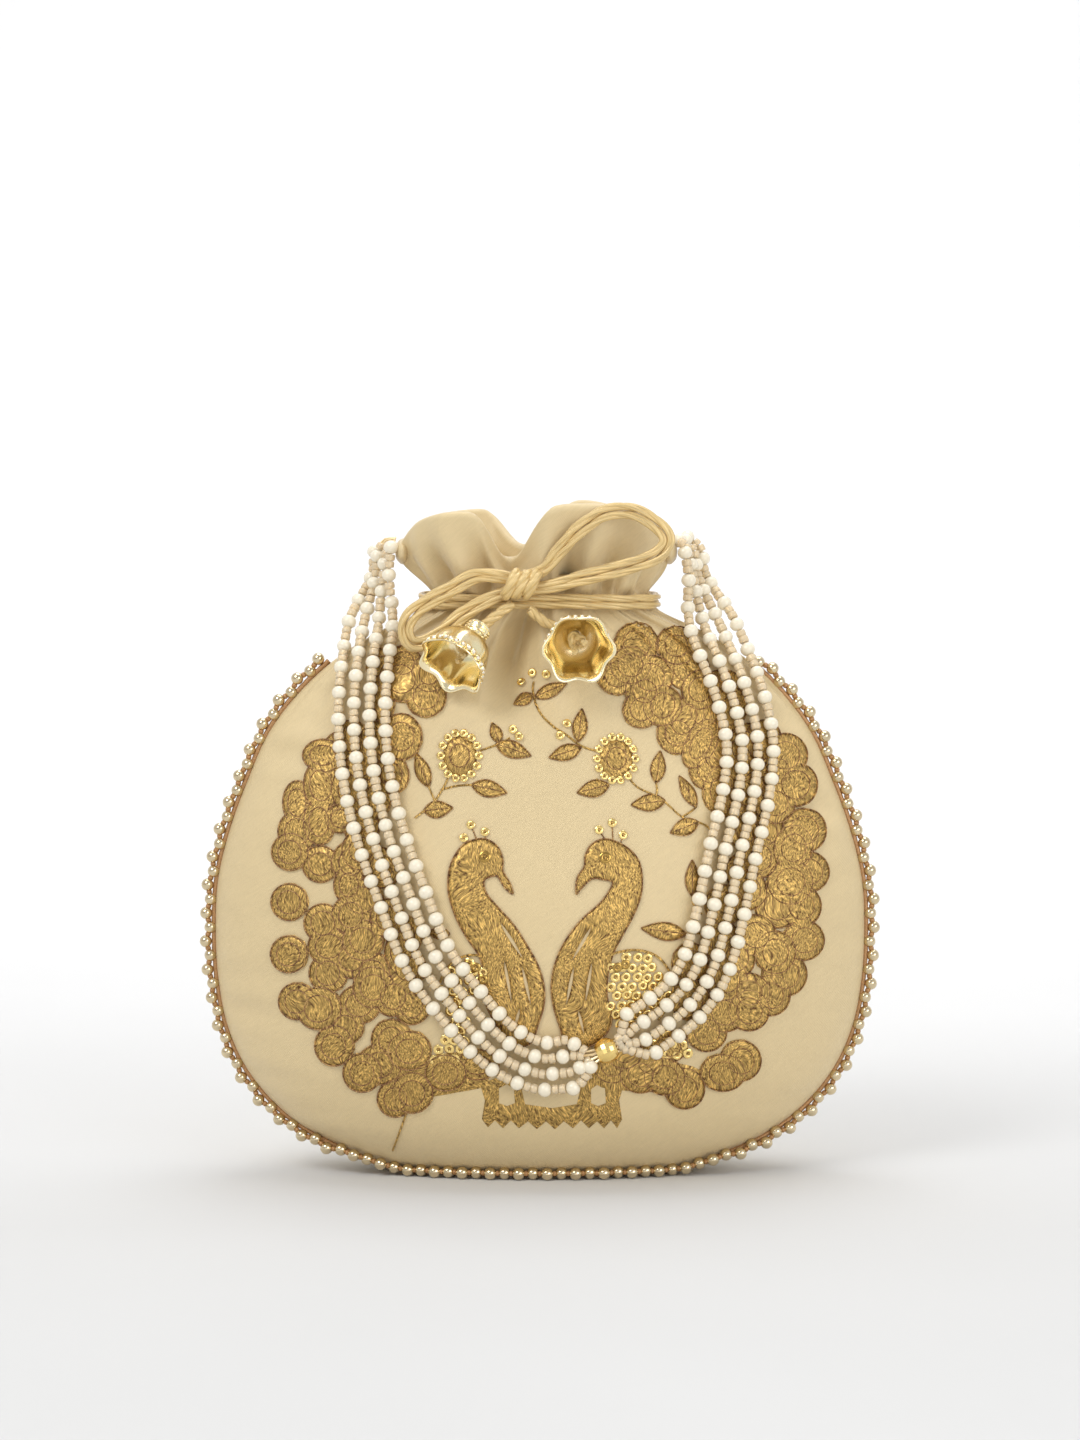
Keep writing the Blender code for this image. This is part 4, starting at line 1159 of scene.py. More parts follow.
def build_embroidery(skin, looks, sizes):
    rng = random.Random(7)
    high = sizes.stitch_height
    # Feathers of both tails lie like scales: later ones stand a little lower
    for name, discs in (("tail_left", TAIL_LEFT), ("tail_right", TAIL_RIGHT)):
        heap = Heap()
        for i, (u, v, wide, tall, lean) in enumerate(discs):
            lift = 0.3 * MM * ((i * 5) % 4) / 3
            outline = disc(u, v, wide, tall, lean, 28)
            outline = [
                (x + rng.uniform(-0.5, 0.5), y + rng.uniform(-0.5, 0.5)) for x, y in outline
            ]
            patch(heap, skin, outline, high, 0, 3.2, lift, 6)
            for share, up in ((0.96, 0.55), (0.6, 1.0)):
                ring = disc(u, v, wide * share, tall * share, lean, 12)
                width = (0.5 if share > 0.9 else 0.42) * MM
                stem(heap, skin, ring, width, 1, True, lift + high * up)
        tail = heap.make("embroidered_" + name, [looks["thread"], looks["outline"]])
        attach(tail, "bag")

    heap = Heap()
    for bird, slits in ((RIGHT_BIRD, SLITS_RIGHT), (LEFT_BIRD, SLITS_LEFT)):
        cuts = [grown(*slit) for slit in slits]
        patch(heap, skin, rounded(bird, 4), high, 0, 2.6, 0.25 * MM, 6, holes=cuts)
        stem(heap, skin, bird, 0.55 * MM, 1, True, 0.4 * MM)
    for arc in (
        ((610, 962), (612, 954), (637, 950), (659, 958), (672, 979), (671, 1000), (658, 1020)),
        ((438, 1000), (441, 980), (452, 963), (470, 955), (487, 960), (492, 980)),
    ):
        stem(heap, skin, arc, 0.9 * MM, 0, False, 0.2 * MM)
    for band in (
        (
            (389, 1076), (410, 1060), (440, 1054), (470, 1052), (487, 1058), (487, 1084),
            (458, 1092), (425, 1097), (396, 1094),
        ),
        (
            (594, 1062), (630, 1059), (670, 1062), (700, 1070), (698, 1090), (660, 1092),
            (620, 1090), (596, 1084),
        ),
    ):
        patch(heap, skin, rounded(band, 3), high * 0.7, 0, 3.2, 0, 6)
    pedestal = (
        (482, 1119), (485, 1100), (480, 1084), (500, 1076), (520, 1080), (525, 1104), (552, 1108),
        (577, 1104), (582, 1080), (604, 1076), (624, 1084), (619, 1100), (622, 1119), (617, 1128),
        (611, 1120), (604, 1128), (597, 1121), (589, 1128), (581, 1120), (573, 1128), (564, 1121),
        (555, 1129), (546, 1121), (537, 1129), (528, 1121), (519, 1128), (511, 1120), (503, 1128),
        (495, 1120), (488, 1127),
    )
    arches = (
        [(499, 1088), (507, 1084), (514, 1089), (515, 1103), (507, 1106), (499, 1103)],
        [(591, 1089), (598, 1084), (605, 1088), (606, 1103), (598, 1106), (591, 1103)],
    )
    patch(heap, skin, pedestal, high * 0.8, 0, 2.8, 0, 6, holes=arches)
    for foot_u, foot_v, tip_u, tip_v, width in LEAVES:
        outline = grown(foot_u, foot_v, tip_u, tip_v, width)
        patch(heap, skin, outline, high * 0.8, 0, 2.4, 0, 4)
        stem(heap, skin, outline, 0.4 * MM, 1, True, 0.25 * MM)
        rib = [(mix(foot_u, tip_u, t), mix(foot_v, tip_v, t)) for t in (0.05, 0.45, 0.85)]
        stem(heap, skin, rib, 0.4 * MM, 1, False, high * 0.8)
    for line in STEMS:
        stem(heap, skin, line, 0.75 * MM, 0)
    for u, v, high_px in ROSETTES:
        patch(heap, skin, disc(u, v, 34, high_px - 6, 0, 24), high, 0, 3, 0, 6)
        stem(heap, skin, disc(u, v, 20, high_px * 0.5, 0, 12), 0.45 * MM, 1, True, high)
    for u, v, foot_u, foot_v in CREST:
        half_way = (mix(u, foot_u, 0.5), mix(v, foot_v, 0.5))
        stem(heap, skin, ((foot_u, foot_v), half_way, (u, v)), 0.5 * MM, 1)
    birds = heap.make("embroidered_peacocks", [looks["thread"], looks["outline"]])
    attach(birds, "bag")

    heap = Heap()
    size = sizes.sequin
    for u, v in LOOSE_SEQUINS:
        sequin(heap, skin, u, v, size * 0.85, 0, 1, 0.5 * MM, rng.uniform(-0.3, 0.3))
    for u, v, _, _ in CREST:
        sequin(heap, skin, u, v, size * 0.85, 0, 1, 0.2 * MM, rng.uniform(-0.2, 0.2))
    for u, v in DARK_SEQUINS:
        big = 1.15 if v < 900 else 0.95
        sequin(heap, skin, u, v, size * big, 2, 1, 0.95 * MM if v < 900 else 0.5 * MM)
    for cu, cv, tall in ROSETTES:
        for k in range(14):
            a = 2 * math.pi * k / 14
            place = (cu + 19 * math.cos(a), cv + tall / 2 * math.sin(a))
            sequin(heap, skin, *place, size * 0.8, 0, 1, 0.3 * MM, rng.uniform(-0.2, 0.2))
    # Sequined wings: rows of rings inside each wing's outline
    wings = (
        [
            (609, 962), (637, 954), (659, 961), (671, 980), (668, 1004), (645, 1022), (617, 1028),
            (607, 1008),
        ],
        [
            (438, 1000), (442, 982), (453, 966), (470, 958), (487, 966), (489, 988), (478, 1002),
            (456, 1004),
        ],
        [(424, 1066), (438, 1032), (450, 1002), (464, 1002), (470, 1030), (462, 1060), (444, 1068)],
        [(648, 1038), (674, 1031), (690, 1044), (687, 1058), (664, 1062), (650, 1056)],
    )
    for wing in wings:
        outline = rounded(wing, 4)
        line = np.asarray(outline)
        low, top = line.min(0), line.max(0)
        row = 0
        v = low[1] + 4
        while v < top[1]:
            u = low[0] + (5 if row % 2 else 0)
            while u < top[0]:
                if edge_distance(np.array([[u, v]]), line)[0] > 2:
                    sequin(
                        heap, skin, u + rng.uniform(-1, 1), v + rng.uniform(-1, 1), size, 0, 1,
                        0.15 * MM, rng.uniform(-0.15, 0.15),
                    )
                u += 10.4
            v += 9.4
            row += 1
    rings = heap.make("sequins", [looks["sequin"], looks["thread"], looks["old_gold"]])
    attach(rings, "bag")


# ---- Border ----


def border_route(skin, bead):
    """The middle line of the bead string: down each side at the seam, then in front of the sole."""
    lowest = bead / 2 + 0.1 * MM
    turn_in, front_angle = 34 * MM, math.radians(38)
    marks = [(0.0, mix(170 * MM, turn_in, i / 26), 0.0) for i in range(26)]
    for i in range(10):
        t = i / 10
        angle = front_angle * float(smooth(0, 1, t))
        marks.append((angle, mix(turn_in, lowest, math.sin(t * math.pi / 2)), t))
    marks += [(mix(front_angle, math.pi / 2, i / 8), lowest, 1.0) for i in range(9)]
    route = []
    for angle, height, turned_in in marks:
        point = body_point(angle, height)
        above = body_point(angle, height + 1 * MM)
        below = body_point(angle, max(height - 1 * MM, 0))
        slope = (above - below).normalized()
        side = Vector((slope.z, 0, -slope.x))
        way = side.lerp(Vector((0.25 * (1 - turned_in), -1, 0)), float(smooth(0, 1, turned_in)))
        if turned_in:
            way.z *= 1 - turned_in
        route.append(seat(skin, point, way, bead / 2 + 0.2 * MM))
    left = [Vector((-p.x, p.y, p.z)) for p in route[:-1]]
    return route + left[::-1]


def build_border(skin, looks, sizes):
    bead = sizes.border_bead
    route = border_route(skin, bead * 0.8)
    count = round(length_of(route) / sizes.border_pitch)
    spots = resample(route, 2 * count + 1)
    rng = random.Random(3)
    heap = Heap()
    round_bead = ball(bead / 2, 16, 10)
    link, link_faces = turned(
        [
            (0.35 * MM, -0.7 * MM), (0.85 * MM, -0.5 * MM), (0.95 * MM, 0),
            (0.85 * MM, 0.5 * MM), (0.35 * MM, 0.7 * MM),
        ],
        8,
    )
    centres = []
    for i in range(count):
        centre = spots[2 * i + 1].copy()
        along = (spots[2 * i + 2] - spots[2 * i]).normalized()
        out = centre - Vector((0, centre.y * 0.4, 80 * MM))
        out = (out - along * out.dot(along)).normalized()
        if centre.z < 8 * MM:
            out = Vector((0, -1, 0))
        centre += out * ((1.25 * MM if i % 2 else -0.15 * MM) + rng.uniform(-0.15, 0.15) * MM)
        centre.z = max(centre.z, bead / 2 + 0.05 * MM)
        centres.append((centre, along))
        axis = along + Vector([rng.uniform(-0.2, 0.2) for _ in range(3)])
        heap.add(placed(round_bead[0], centre, axis), round_bead[1], 0)
    for (a, _), (b, _) in zip(centres, centres[1:]):
        middle = (a + b) / 2
        heap.add(placed(link, middle, b - a), link_faces, 1)
    tube(heap, [c for c, _ in centres], 0.35 * MM, 5, 1)
    string = heap.make("border_bead_string", [looks["border"], looks["copper"]])
    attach(string, "bag")
    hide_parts("border_beads")
    # The gimp that runs along the seam itself, and the thread loops that hold the string to it
    heap = Heap()
    gimp_route = resample(border_route(skin, 0.35 * MM), 300)
    for point in gimp_route:
        point.z = max(point.z, 0.9 * MM)
    tube(heap, gimp_route, lambda i: (1.0 * MM, 0.9 * MM), 7, 0, twist=0.5)
    for i in range(0, len(centres), 2):
        centre, along = centres[i]
        k = min(range(len(gimp_route)), key=lambda j: (gimp_route[j] - centre).length)
        bow = (gimp_route[k] + centre) / 2 + along * 0.5 * MM
        tube(heap, [gimp_route[k], bow, centre], 0.22 * MM, 5, 0)
    gimp = heap.make("seam_gimp", [looks["copper"]])
    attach(gimp, "bag")


# ---- Handle ----

STRAND_SPACING = 5.2 * MM
SLIDER_AT = 0.535


def strand_turn(height):
    """The angle of the row of strands: in line with the view at the top, across it lower down."""
    return math.radians(
        mix(90, 22, float(smooth(HANDLE_AXIS.z - 32 * MM, HANDLE_AXIS.z - 6 * MM, height)))
    )


def strand_paths(skin):
    marks = (
        (-52.5, 1.0), (-53.5, 0.955), (-55.8, 0.893), (-57.6, 0.829), (-58.5, 0.742),
        (-56.9, 0.654), (-52.5, 0.565), (-44.4, 0.46), (-36.2, 0.366), (-25, 0.293),
        (-13.9, 0.235), (-2, 0.203), (8, 0.202), (19.4, 0.22), (32, 0.25), (44, 0.289),
        (53, 0.345), (58.5, 0.431), (62.9, 0.53), (67.5, 0.62), (69, 0.70), (65.2, 0.785),
        (60, 0.85), (55, 0.91), (52, 0.96), (50.5, 1.0),
    )
    middle = resample([Vector((x * MM, 0, share * HANDLE_AXIS.z)) for x, share in marks], 49)
    radius, bead = 2.3 * MM, 4.2 * MM
    total = length_of(middle)
    slider = SLIDER_AT * total
    near = [-17, -12, -8.5, -6.2, -4.9, -2, 2, 4.9, 6.2, 8.5, 12, 17]
    runs = [total * i / 48 for i in range(49)]
    runs = sorted([r for r in runs if abs(r - slider) > 20 * MM] + [slider + n * MM for n in near])
    spots, at = [], []
    for run in runs:
        share = run / total * 48
        k = min(int(share), 47)
        spots.append(middle[k].lerp(middle[k + 1], share - k))
        at.append(abs(run - slider))
    front = Vector((0, -1, 0))
    paths = []
    for k in range(4):
        points = []
        for i, spot in enumerate(spots):
            along = (spots[min(i + 1, len(spots) - 1)] - spots[max(i - 1, 0)]).normalized()
            inner = Vector((-along.z, 0, along.x))
            drawn = 1 - float(smooth(5 * MM, 12 * MM, at[i]))
            spacing = mix(STRAND_SPACING, 1.2 * MM, drawn)
            turned = strand_turn(spot.z)
            row = 1.5 - k
            point = spot + inner * spacing * row * math.sin(turned)
            sway = 0.55 * MM * math.sin(runs[i] / MM / 13 + 2.1 * k) * (1 - drawn)
            point += inner * sway * float(smooth(210 * MM, 180 * MM, 210 * MM + 180 * MM - spot.z))
            raised = 1 - float(smooth(6 * MM, 28 * MM, at[i]))
            clearance = mix(radius, bead, raised) + 0.75 * MM
            level = seat(skin, Vector((spot.x, 0, spot.z)), front, clearance)
            own = seat(skin, Vector((point.x, 0, point.z)), front, clearance)
            held = 1 - float(smooth(NECK_HEIGHT - 14 * MM, NECK_HEIGHT + 14 * MM, spot.z))
            depth = mix(own.y, level.y, 1 - float(smooth(10 * MM, 30 * MM, at[i])))
            aside = STRAND_SPACING * row * math.cos(turned)
            point.y = mix(HANDLE_AXIS.y, depth, held) - aside
            points.append(point)
        for _ in range(40):
            touching = False
            for a, b in zip(points, points[1:]):
                if skin.find_nearest((a + b) / 2)[3] < radius + 0.1 * MM and a.z < 186 * MM:
                    a.y -= 0.1 * MM
                    b.y -= 0.1 * MM
                    touching = True
            if not touching:
                break
        first, last = points[0], points[-1]
        lift = 4.6 * MM * 0.9
        left_end, right_end = -(RUFFLE_LEFT + 2.2 * MM), RUFFLE_RIGHT + 2.2 * MM
        start = [
            Vector((left_end, first.y, first.z + lift)),
            Vector((mix(left_end, first.x, 0.55), first.y, first.z + lift * 0.85)),
        ]
        finish = [
            Vector((mix(right_end, last.x, 0.55), last.y, last.z + lift * 0.85)),
            Vector((right_end, last.y, last.z + lift)),
        ]
        paths.append(start + points + finish)
    return paths


def build_handle(skin, looks, sizes):
    rng = random.Random(11)
    pearl, pearl_faces = ball(sizes.pearl / 2, 16, 10, 0.93)
    r, half = sizes.seed / 2, sizes.seed_length / 2
    shell = turned(
        [
            (r * 0.55, -half), (r * 0.86, -half * 0.96), (r, -half * 0.55),
            (r, half * 0.55), (r * 0.86, half * 0.96), (r * 0.55, half),
        ],
        10,
    )
    lining = turned([(r * 0.6, -half * 0.9), (r * 0.7, 0), (r * 0.6, half * 0.9)], 8)
    for number, path in enumerate(strand_paths(skin)):
        fine = resample(path, 500)
        total = length_of(fine)
        step = total / 499
        heap = Heap()
        tube(heap, fine[::4] + [fine[-1]], 0.42 * MM, 5, 3)

        def at(run):
            i = min(max(run / step, 0), 498.999)
            k = int(i)
            return fine[k].lerp(fine[k + 1], i - k), (fine[k + 1] - fine[k]).normalized()

        run = 0.3 * MM + number * 2.3 * MM
        kind = number % 3
        navy_at = 0.562 * total
        centre_run = min(range(500), key=lambda i: (fine[i] - SLIDER_CENTRE).length) * step
        while run < total - 1.5 * MM:
            long = sizes.pearl * 0.93 if kind == 0 else sizes.seed_length
            place, along = at(run + long / 2)
            if abs(run + long / 2 - centre_run) < 5.2 * MM:
                run += 0.5 * MM
                continue
            jitter = Vector([rng.uniform(-1, 1) for _ in range(3)])
            crowd = float(smooth(5 * MM, 11 * MM, abs(run - centre_run)))
            if kind == 0 and crowd > 0.9:
                grown_pearl = pearl * rng.uniform(0.96, 1.02)
                heap.add(placed(grown_pearl, place, along + jitter * 0.08), pearl_faces, 0)
            elif kind == 0:
                run += 0.2 * MM
                kind = 1
                continue
            else:
                look = 4 if number == 1 and abs(run - navy_at) < 1.3 * MM else 1
                tilt = along + jitter * 0.1
                heap.add(placed(shell[0] * rng.uniform(0.93, 1.04), place, tilt), shell[1], look)
                heap.add(placed(lining[0], place, tilt), lining[1], 2)
            run += long + 0.04 * MM
            kind = (kind + 1) % 3
        strand = heap.make(
            f"bead_strand_{number + 1}",
            [looks["pearl"], looks["glass"], looks["lining"], looks["lining"], looks["navy"]],
        )
        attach(strand, "handle")
        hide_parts(f"handle_strand_{number + 1}")


SLIDER_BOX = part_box("slider_bead")
SLIDER_CENTRE = (SLIDER_BOX[0] + SLIDER_BOX[1]) / 2


# ---- Drawstring ----

LEFT_LOOP = (
    (-8.5, 198.6), (-14.2, 199.5), (-21, 199.6), (-28, 196), (-36, 191.5), (-42, 187), (-44.2, 182),
    (-42, 177.6), (-37.5, 177.8), (-31, 182), (-24.5, 187.5), (-14.4, 193), (-8.5, 194.8),
)
RIGHT_LOOP = (
    (-3.2, 199.6), (1.8, 202.2), (6, 207.5), (12.5, 214.5), (20.5, 220), (29, 221), (37.5, 217),
    (41.5, 211.5), (38, 206.5), (27, 202.5), (15, 199.5), (3, 196.2), (-3.2, 195.4),
)


def satin_ply(heap, path, radius, phase=0.0, closed=False, plies=3, pitch=34 * MM):
    """One soft cord of loosely laid satin plies along a path."""
    sides, run = carried(path, closed)
    turns = round(run / pitch) if closed else run / pitch
    for ply in range(plies):
        own = []
        for i, point in enumerate(path):
            a, b, at = sides[i]
            angle = phase + 2 * math.pi * (ply / plies + turns * at / run)
            reach = radius * 0.42 * (1 + 0.1 * math.sin(at / MM / 5 + ply * 2 + phase))
            own.append(point + (a * math.cos(angle) + b * math.sin(angle)) * reach)
        tube(heap, own, radius * 0.63, 9, 0, closed=closed, face=lambda i: sides[i][0])


def double_cord(heap, path, radius, face, spread):
    """Two satin cords that lie side by side along a path."""
    last = len(path) - 1
    for side in (-1, 1):
        own = []
        for i, point in enumerate(path):
            along = (path[min(i + 1, last)] - path[max(i - 1, 0)]).normalized()
            across = along.cross(face).normalized()
            own.append(point + across * side * spread(i))
        satin_ply(heap, own, radius, 1.3 * side)


def build_drawstring(looks):
    low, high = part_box("neck_cord")
    heap = Heap()
    middle = (low + high) / 2
    half = (high - low) / 2
    for level in (-0.1, 0.1):
        ring = []
        for i in range(120):
            a = 2 * math.pi * i / 120
            ring.append(
                Vector(
                    (
                        (half.x - 1.3 * MM) * math.cos(a) + middle.x,
                        (half.y - 1.3 * MM) * math.sin(a) * 0.99 + middle.y,
                        middle.z + level * MM * 12 + 0.3 * MM * math.sin(3 * a),
                    )
                )
            )
        satin_ply(heap, ring, 1.35 * MM, level * 9, closed=True)
    neck = heap.make("neck_drawstring", [looks["cord"]])
    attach(neck, "bag")
    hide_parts("neck_cord")

    for name, marks in (("left_loop", LEFT_LOOP), ("right_loop", RIGHT_LOOP)):
        low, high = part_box(name)
        level = low.y + 1.4 * MM
        near_knot = high.y - 1.4 * MM
        flat = resample([Vector((x, 0, z)) * MM for x, z in marks], 90)
        path = []
        for i, p in enumerate(flat):
            away = float(smooth(0, 25, min(i, 89 - i)))
            path.append(Vector((p.x, mix(near_knot, level, away), p.z)))
        heap = Heap()
        double_cord(
            heap, path, 1.38 * MM, Vector((0, -1, 0)),
            lambda i: mix(0.8, 1.36, float(smooth(0, 20, min(i, 89 - i)))) * MM,
        )
        loop = heap.make(name + "_cords", [looks["cord"]])
        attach(loop, "bag")
        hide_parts(name)

    low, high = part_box("bow_knot")
    centre, half = (low + high) / 2, (high - low) / 2
    heap = Heap()
    for k, (shift, lean) in enumerate(((-3.3, 0.45), (0.0, 0.5), (3.3, 0.45))):
        turns = []
        for i in range(56):
            a = 2 * math.pi * i / 56
            turns.append(
                centre
                + Vector(
                    (
                        shift * MM + lean * 4 * MM * math.sin(a),
                        (half.y - 1.5 * MM) * math.cos(a),
                        (half.z - 1.4 * MM) * math.sin(a),
                    )
                )
            )
        satin_ply(heap, turns, 2.0 * MM, k * 1.1, closed=True)
    core, faces = ball(1.0, 20, 12)
    core = core * np.array([half.x * 0.8, half.y * 0.62, half.z * 0.62])
    heap.add(core + np.array(centre), faces, 0)
    knot = heap.make("bow_knot_cords", [looks["cord"]])
    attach(knot, "bag")
    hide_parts("bow_knot")


# Each bell: its crown's top, the way that it points and the joint of its cord end at the knot
BELLS = {
    "left": (
        Vector((-20, -20.24, 182.5)) * MM,
        Vector((-0.45835, -0.65764, -0.59785)),
        Vector((-9, -19.9, 190.5)) * MM,
    ),
    "right": (
        Vector((11, -19.63, 181.5)) * MM,
        Vector((0.08018, -0.96212, -0.26057)),
        Vector((-3.5, -19.46, 188.5)) * MM,
    ),
}


def build_bell(name, looks):
    """A flower bell: a pierced crown, a flaring cup with six petals, a raised rim with stones."""
    top, into, _ = BELLS[name]
    sides = 96
    rim = 12 * MM
    crown, cup = 6 * MM, 14 * MM

    def outer_radius(depth):
        if depth < crown:
            return 4 * MM
        flare = [(0, 0), (0.13, 0.45), (0.38, 0.72), (0.7, 0.82), (0.88, 0.9), (1, 1)]
        return 4 * MM + 8 * MM * through(flare, (depth - crown) / cup)[0]

    stations = [0, 0.3, 0.8, 1.4, 2.0, 2.6, 3.2, 4.0, 4.8, 5.4]
    shares = (0, 0.05, 0.1, 0.16, 0.24, 0.34, 0.46, 0.58, 0.7, 0.8, 0.88, 0.94, 1.0)
    stations += [6 + 14 * t for t in shares]
    rows = []
    for depth in stations:
        base = outer_radius(depth * MM)
        if depth < 6:
            base += 0.22 * MM * math.sin(depth * 5.2)
        rows.append((base, depth * MM, 1.0))
    wall = 0.8 * MM
    rows += [
        (rim + 0.2 * MM, 20.05 * MM, 1.0), (rim + 0.12 * MM, 20.3 * MM, 1.0),
        (rim - 0.2 * MM, 20.35 * MM, 1.0), (rim - 0.5 * MM, 20.15 * MM, 1.0),
    ]
    for depth in (19.4, 18.4, 16.8, 15, 13, 11, 9.5, 8.4, 7.4, 6.8):
        rows.append((max(outer_radius(depth * MM) - wall, 2.3 * MM), depth * MM, 0.9))
    rows += [(2.3 * MM, 6 * MM, 0), (2.3 * MM, 0, 0)]
    points = []
    for radius, depth, petal_share in rows:
        share = float(smooth(0.6 * rim, 0.95 * rim, radius)) * petal_share
        for i in range(sides):
            angle = 2 * math.pi * i / sides
            wave = math.cos(6 * angle)
            wide = radius + 0.8 * MM * (wave - 1) * share
            low = depth - 0.75 * MM * (1 - wave) * share
            points.append((wide * math.cos(angle), wide * math.sin(angle), -low))
    heap = Heap()
    place = into.to_track_quat("-Z", "Y").to_matrix()
    turn = np.array(place)
    points = np.array(points) @ turn.T + np.array(top)
    heap.add(points, ring_faces(len(rows), sides, closed=True), 0)
    # Small stones in rings round the rim's outer face, and beading round the crown
    stone, stone_faces = ball(0.62 * MM, 8, 5, 0.8)
    cup_ring, cup_faces = turned(
        [
            (0.5 * MM, 0), (0.95 * MM, 0.1 * MM), (1.0 * MM, 0.5 * MM), (0.72 * MM, 0.75 * MM),
            (0.6 * MM, 0.45 * MM),
        ],
        10,
    )
    for i in range(30):
        angle = 2 * math.pi * i / 30
        depth = 17.9 * MM
        radius = outer_radius(depth) - 0.1 * MM
        wave = math.cos(6 * angle)
        share = float(smooth(0.6 * rim, 0.95 * rim, radius))
        radius += 0.5 * MM * (wave - 1) * share
        local = Vector(
            (
                radius * math.cos(angle),
                radius * math.sin(angle),
                -depth + 0.62 * MM * (1 - wave) * share,
            )
        )
        normal = Vector((math.cos(angle), math.sin(angle), -0.15))
        centre = Vector(place @ local) + top
        facing = place @ normal
        heap.add(placed(cup_ring, centre - facing * 0.1 * MM, facing), cup_faces, 0)
        heap.add(placed(stone, centre + facing * 0.35 * MM, facing), stone_faces, 1)
    bead, bead_faces = ball(0.42 * MM, 6, 4)
    for depth in (0.9, 2.6, 4.3):
        for i in range(16):
            angle = 2 * math.pi * (i + 0.5 * (depth > 2 and depth < 4)) / 16
            local = Vector((4.05 * MM * math.cos(angle), 4.05 * MM * math.sin(angle), -depth * MM))
            heap.add(placed(bead, Vector(place @ local) + top, into), bead_faces, 0)
    bell = heap.make(name + "_flower_bell", [looks["bell"], looks["stone"]], 50)
    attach(bell, name + "_flower")
    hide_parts(name + "_bell")


def build_tail(name, looks):
    """The cord's end through the bell's crown, its overhand knot inside the cup and its cut ends."""
    top, into, pivot = BELLS[name]
    side = into.orthogonal().normalized()
    other = into.cross(side)
    if name == "left":
        route = [pivot, pivot.lerp(top, 0.5) + Vector((0.5, -0.4, 0.4)) * MM, top]
    else:
        sag = pivot.lerp(top, 0.45) + Vector((0, 0, -1.5)) * MM
        route = [pivot, sag, top - into * 2.2 * MM, top]
    path = resample(route, 24)[:-1] + [top + into * t * MM for t in np.linspace(0, 7.5, 14)]
    heap = Heap()
    satin_ply(heap, path, 1.75 * MM, 0.4, pitch=12 * MM)
    centre = top + into * 9.6 * MM
    knot = []
    for i in range(48):
        t = 2 * math.pi * i / 48
        x = math.sin(t) + 2 * math.sin(2 * t)
        y = math.cos(t) - 2 * math.cos(2 * t)
        z = -math.sin(3 * t)
        knot.append(centre + (side * x + other * y) * 0.72 * MM + into * z * 1.3 * MM)
    satin_ply(heap, knot, 1.15 * MM, closed=True, pitch=9 * MM)
    for lean in (-1, 1):
        start = centre + side * lean * 0.8 * MM
        tip = centre + into * 5.2 * MM + side * lean * 2.2 * MM + other * 1.0 * MM
        ends = [start, start.lerp(tip, 0.5) + other * 0.5 * MM, tip]
        satin_ply(heap, resample(ends, 10), 1.15 * MM, lean, pitch=9 * MM)
    tail = heap.make(name + "_cord_end_knot", [looks["cord"]])
    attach(tail, name + "_cord_end")
    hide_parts(name + "_tail")


def build_tabs(looks):
    """The satin tabs on the ruffle's side seams that the four strands are sewn to."""
    for name, x in (("left", -(RUFFLE_LEFT - 0.4 * MM)), ("right", RUFFLE_RIGHT - 0.4 * MM)):
        points, faces = ball(1.0, 24, 14)
        grain = 1 + 0.03 * np.sin(9 * points[:, 1]) * np.cos(7 * points[:, 2])
        points = points * np.array([2.7 * MM, 10 * MM, 4.3 * MM]) * grain[:, None]
        heap = Heap()
        heap.add(points + np.array((x, HANDLE_AXIS.y, HANDLE_AXIS.z)), faces)
        tab = heap.make(name + "_handle_tab", [looks["satin"]])
        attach(tab, "bag")


def build_slider(looks):
    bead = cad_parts["slider_bead"]
    bead.data.materials.clear()
    bead.data.materials.append(looks["sequin"])


# ---- Stage ----


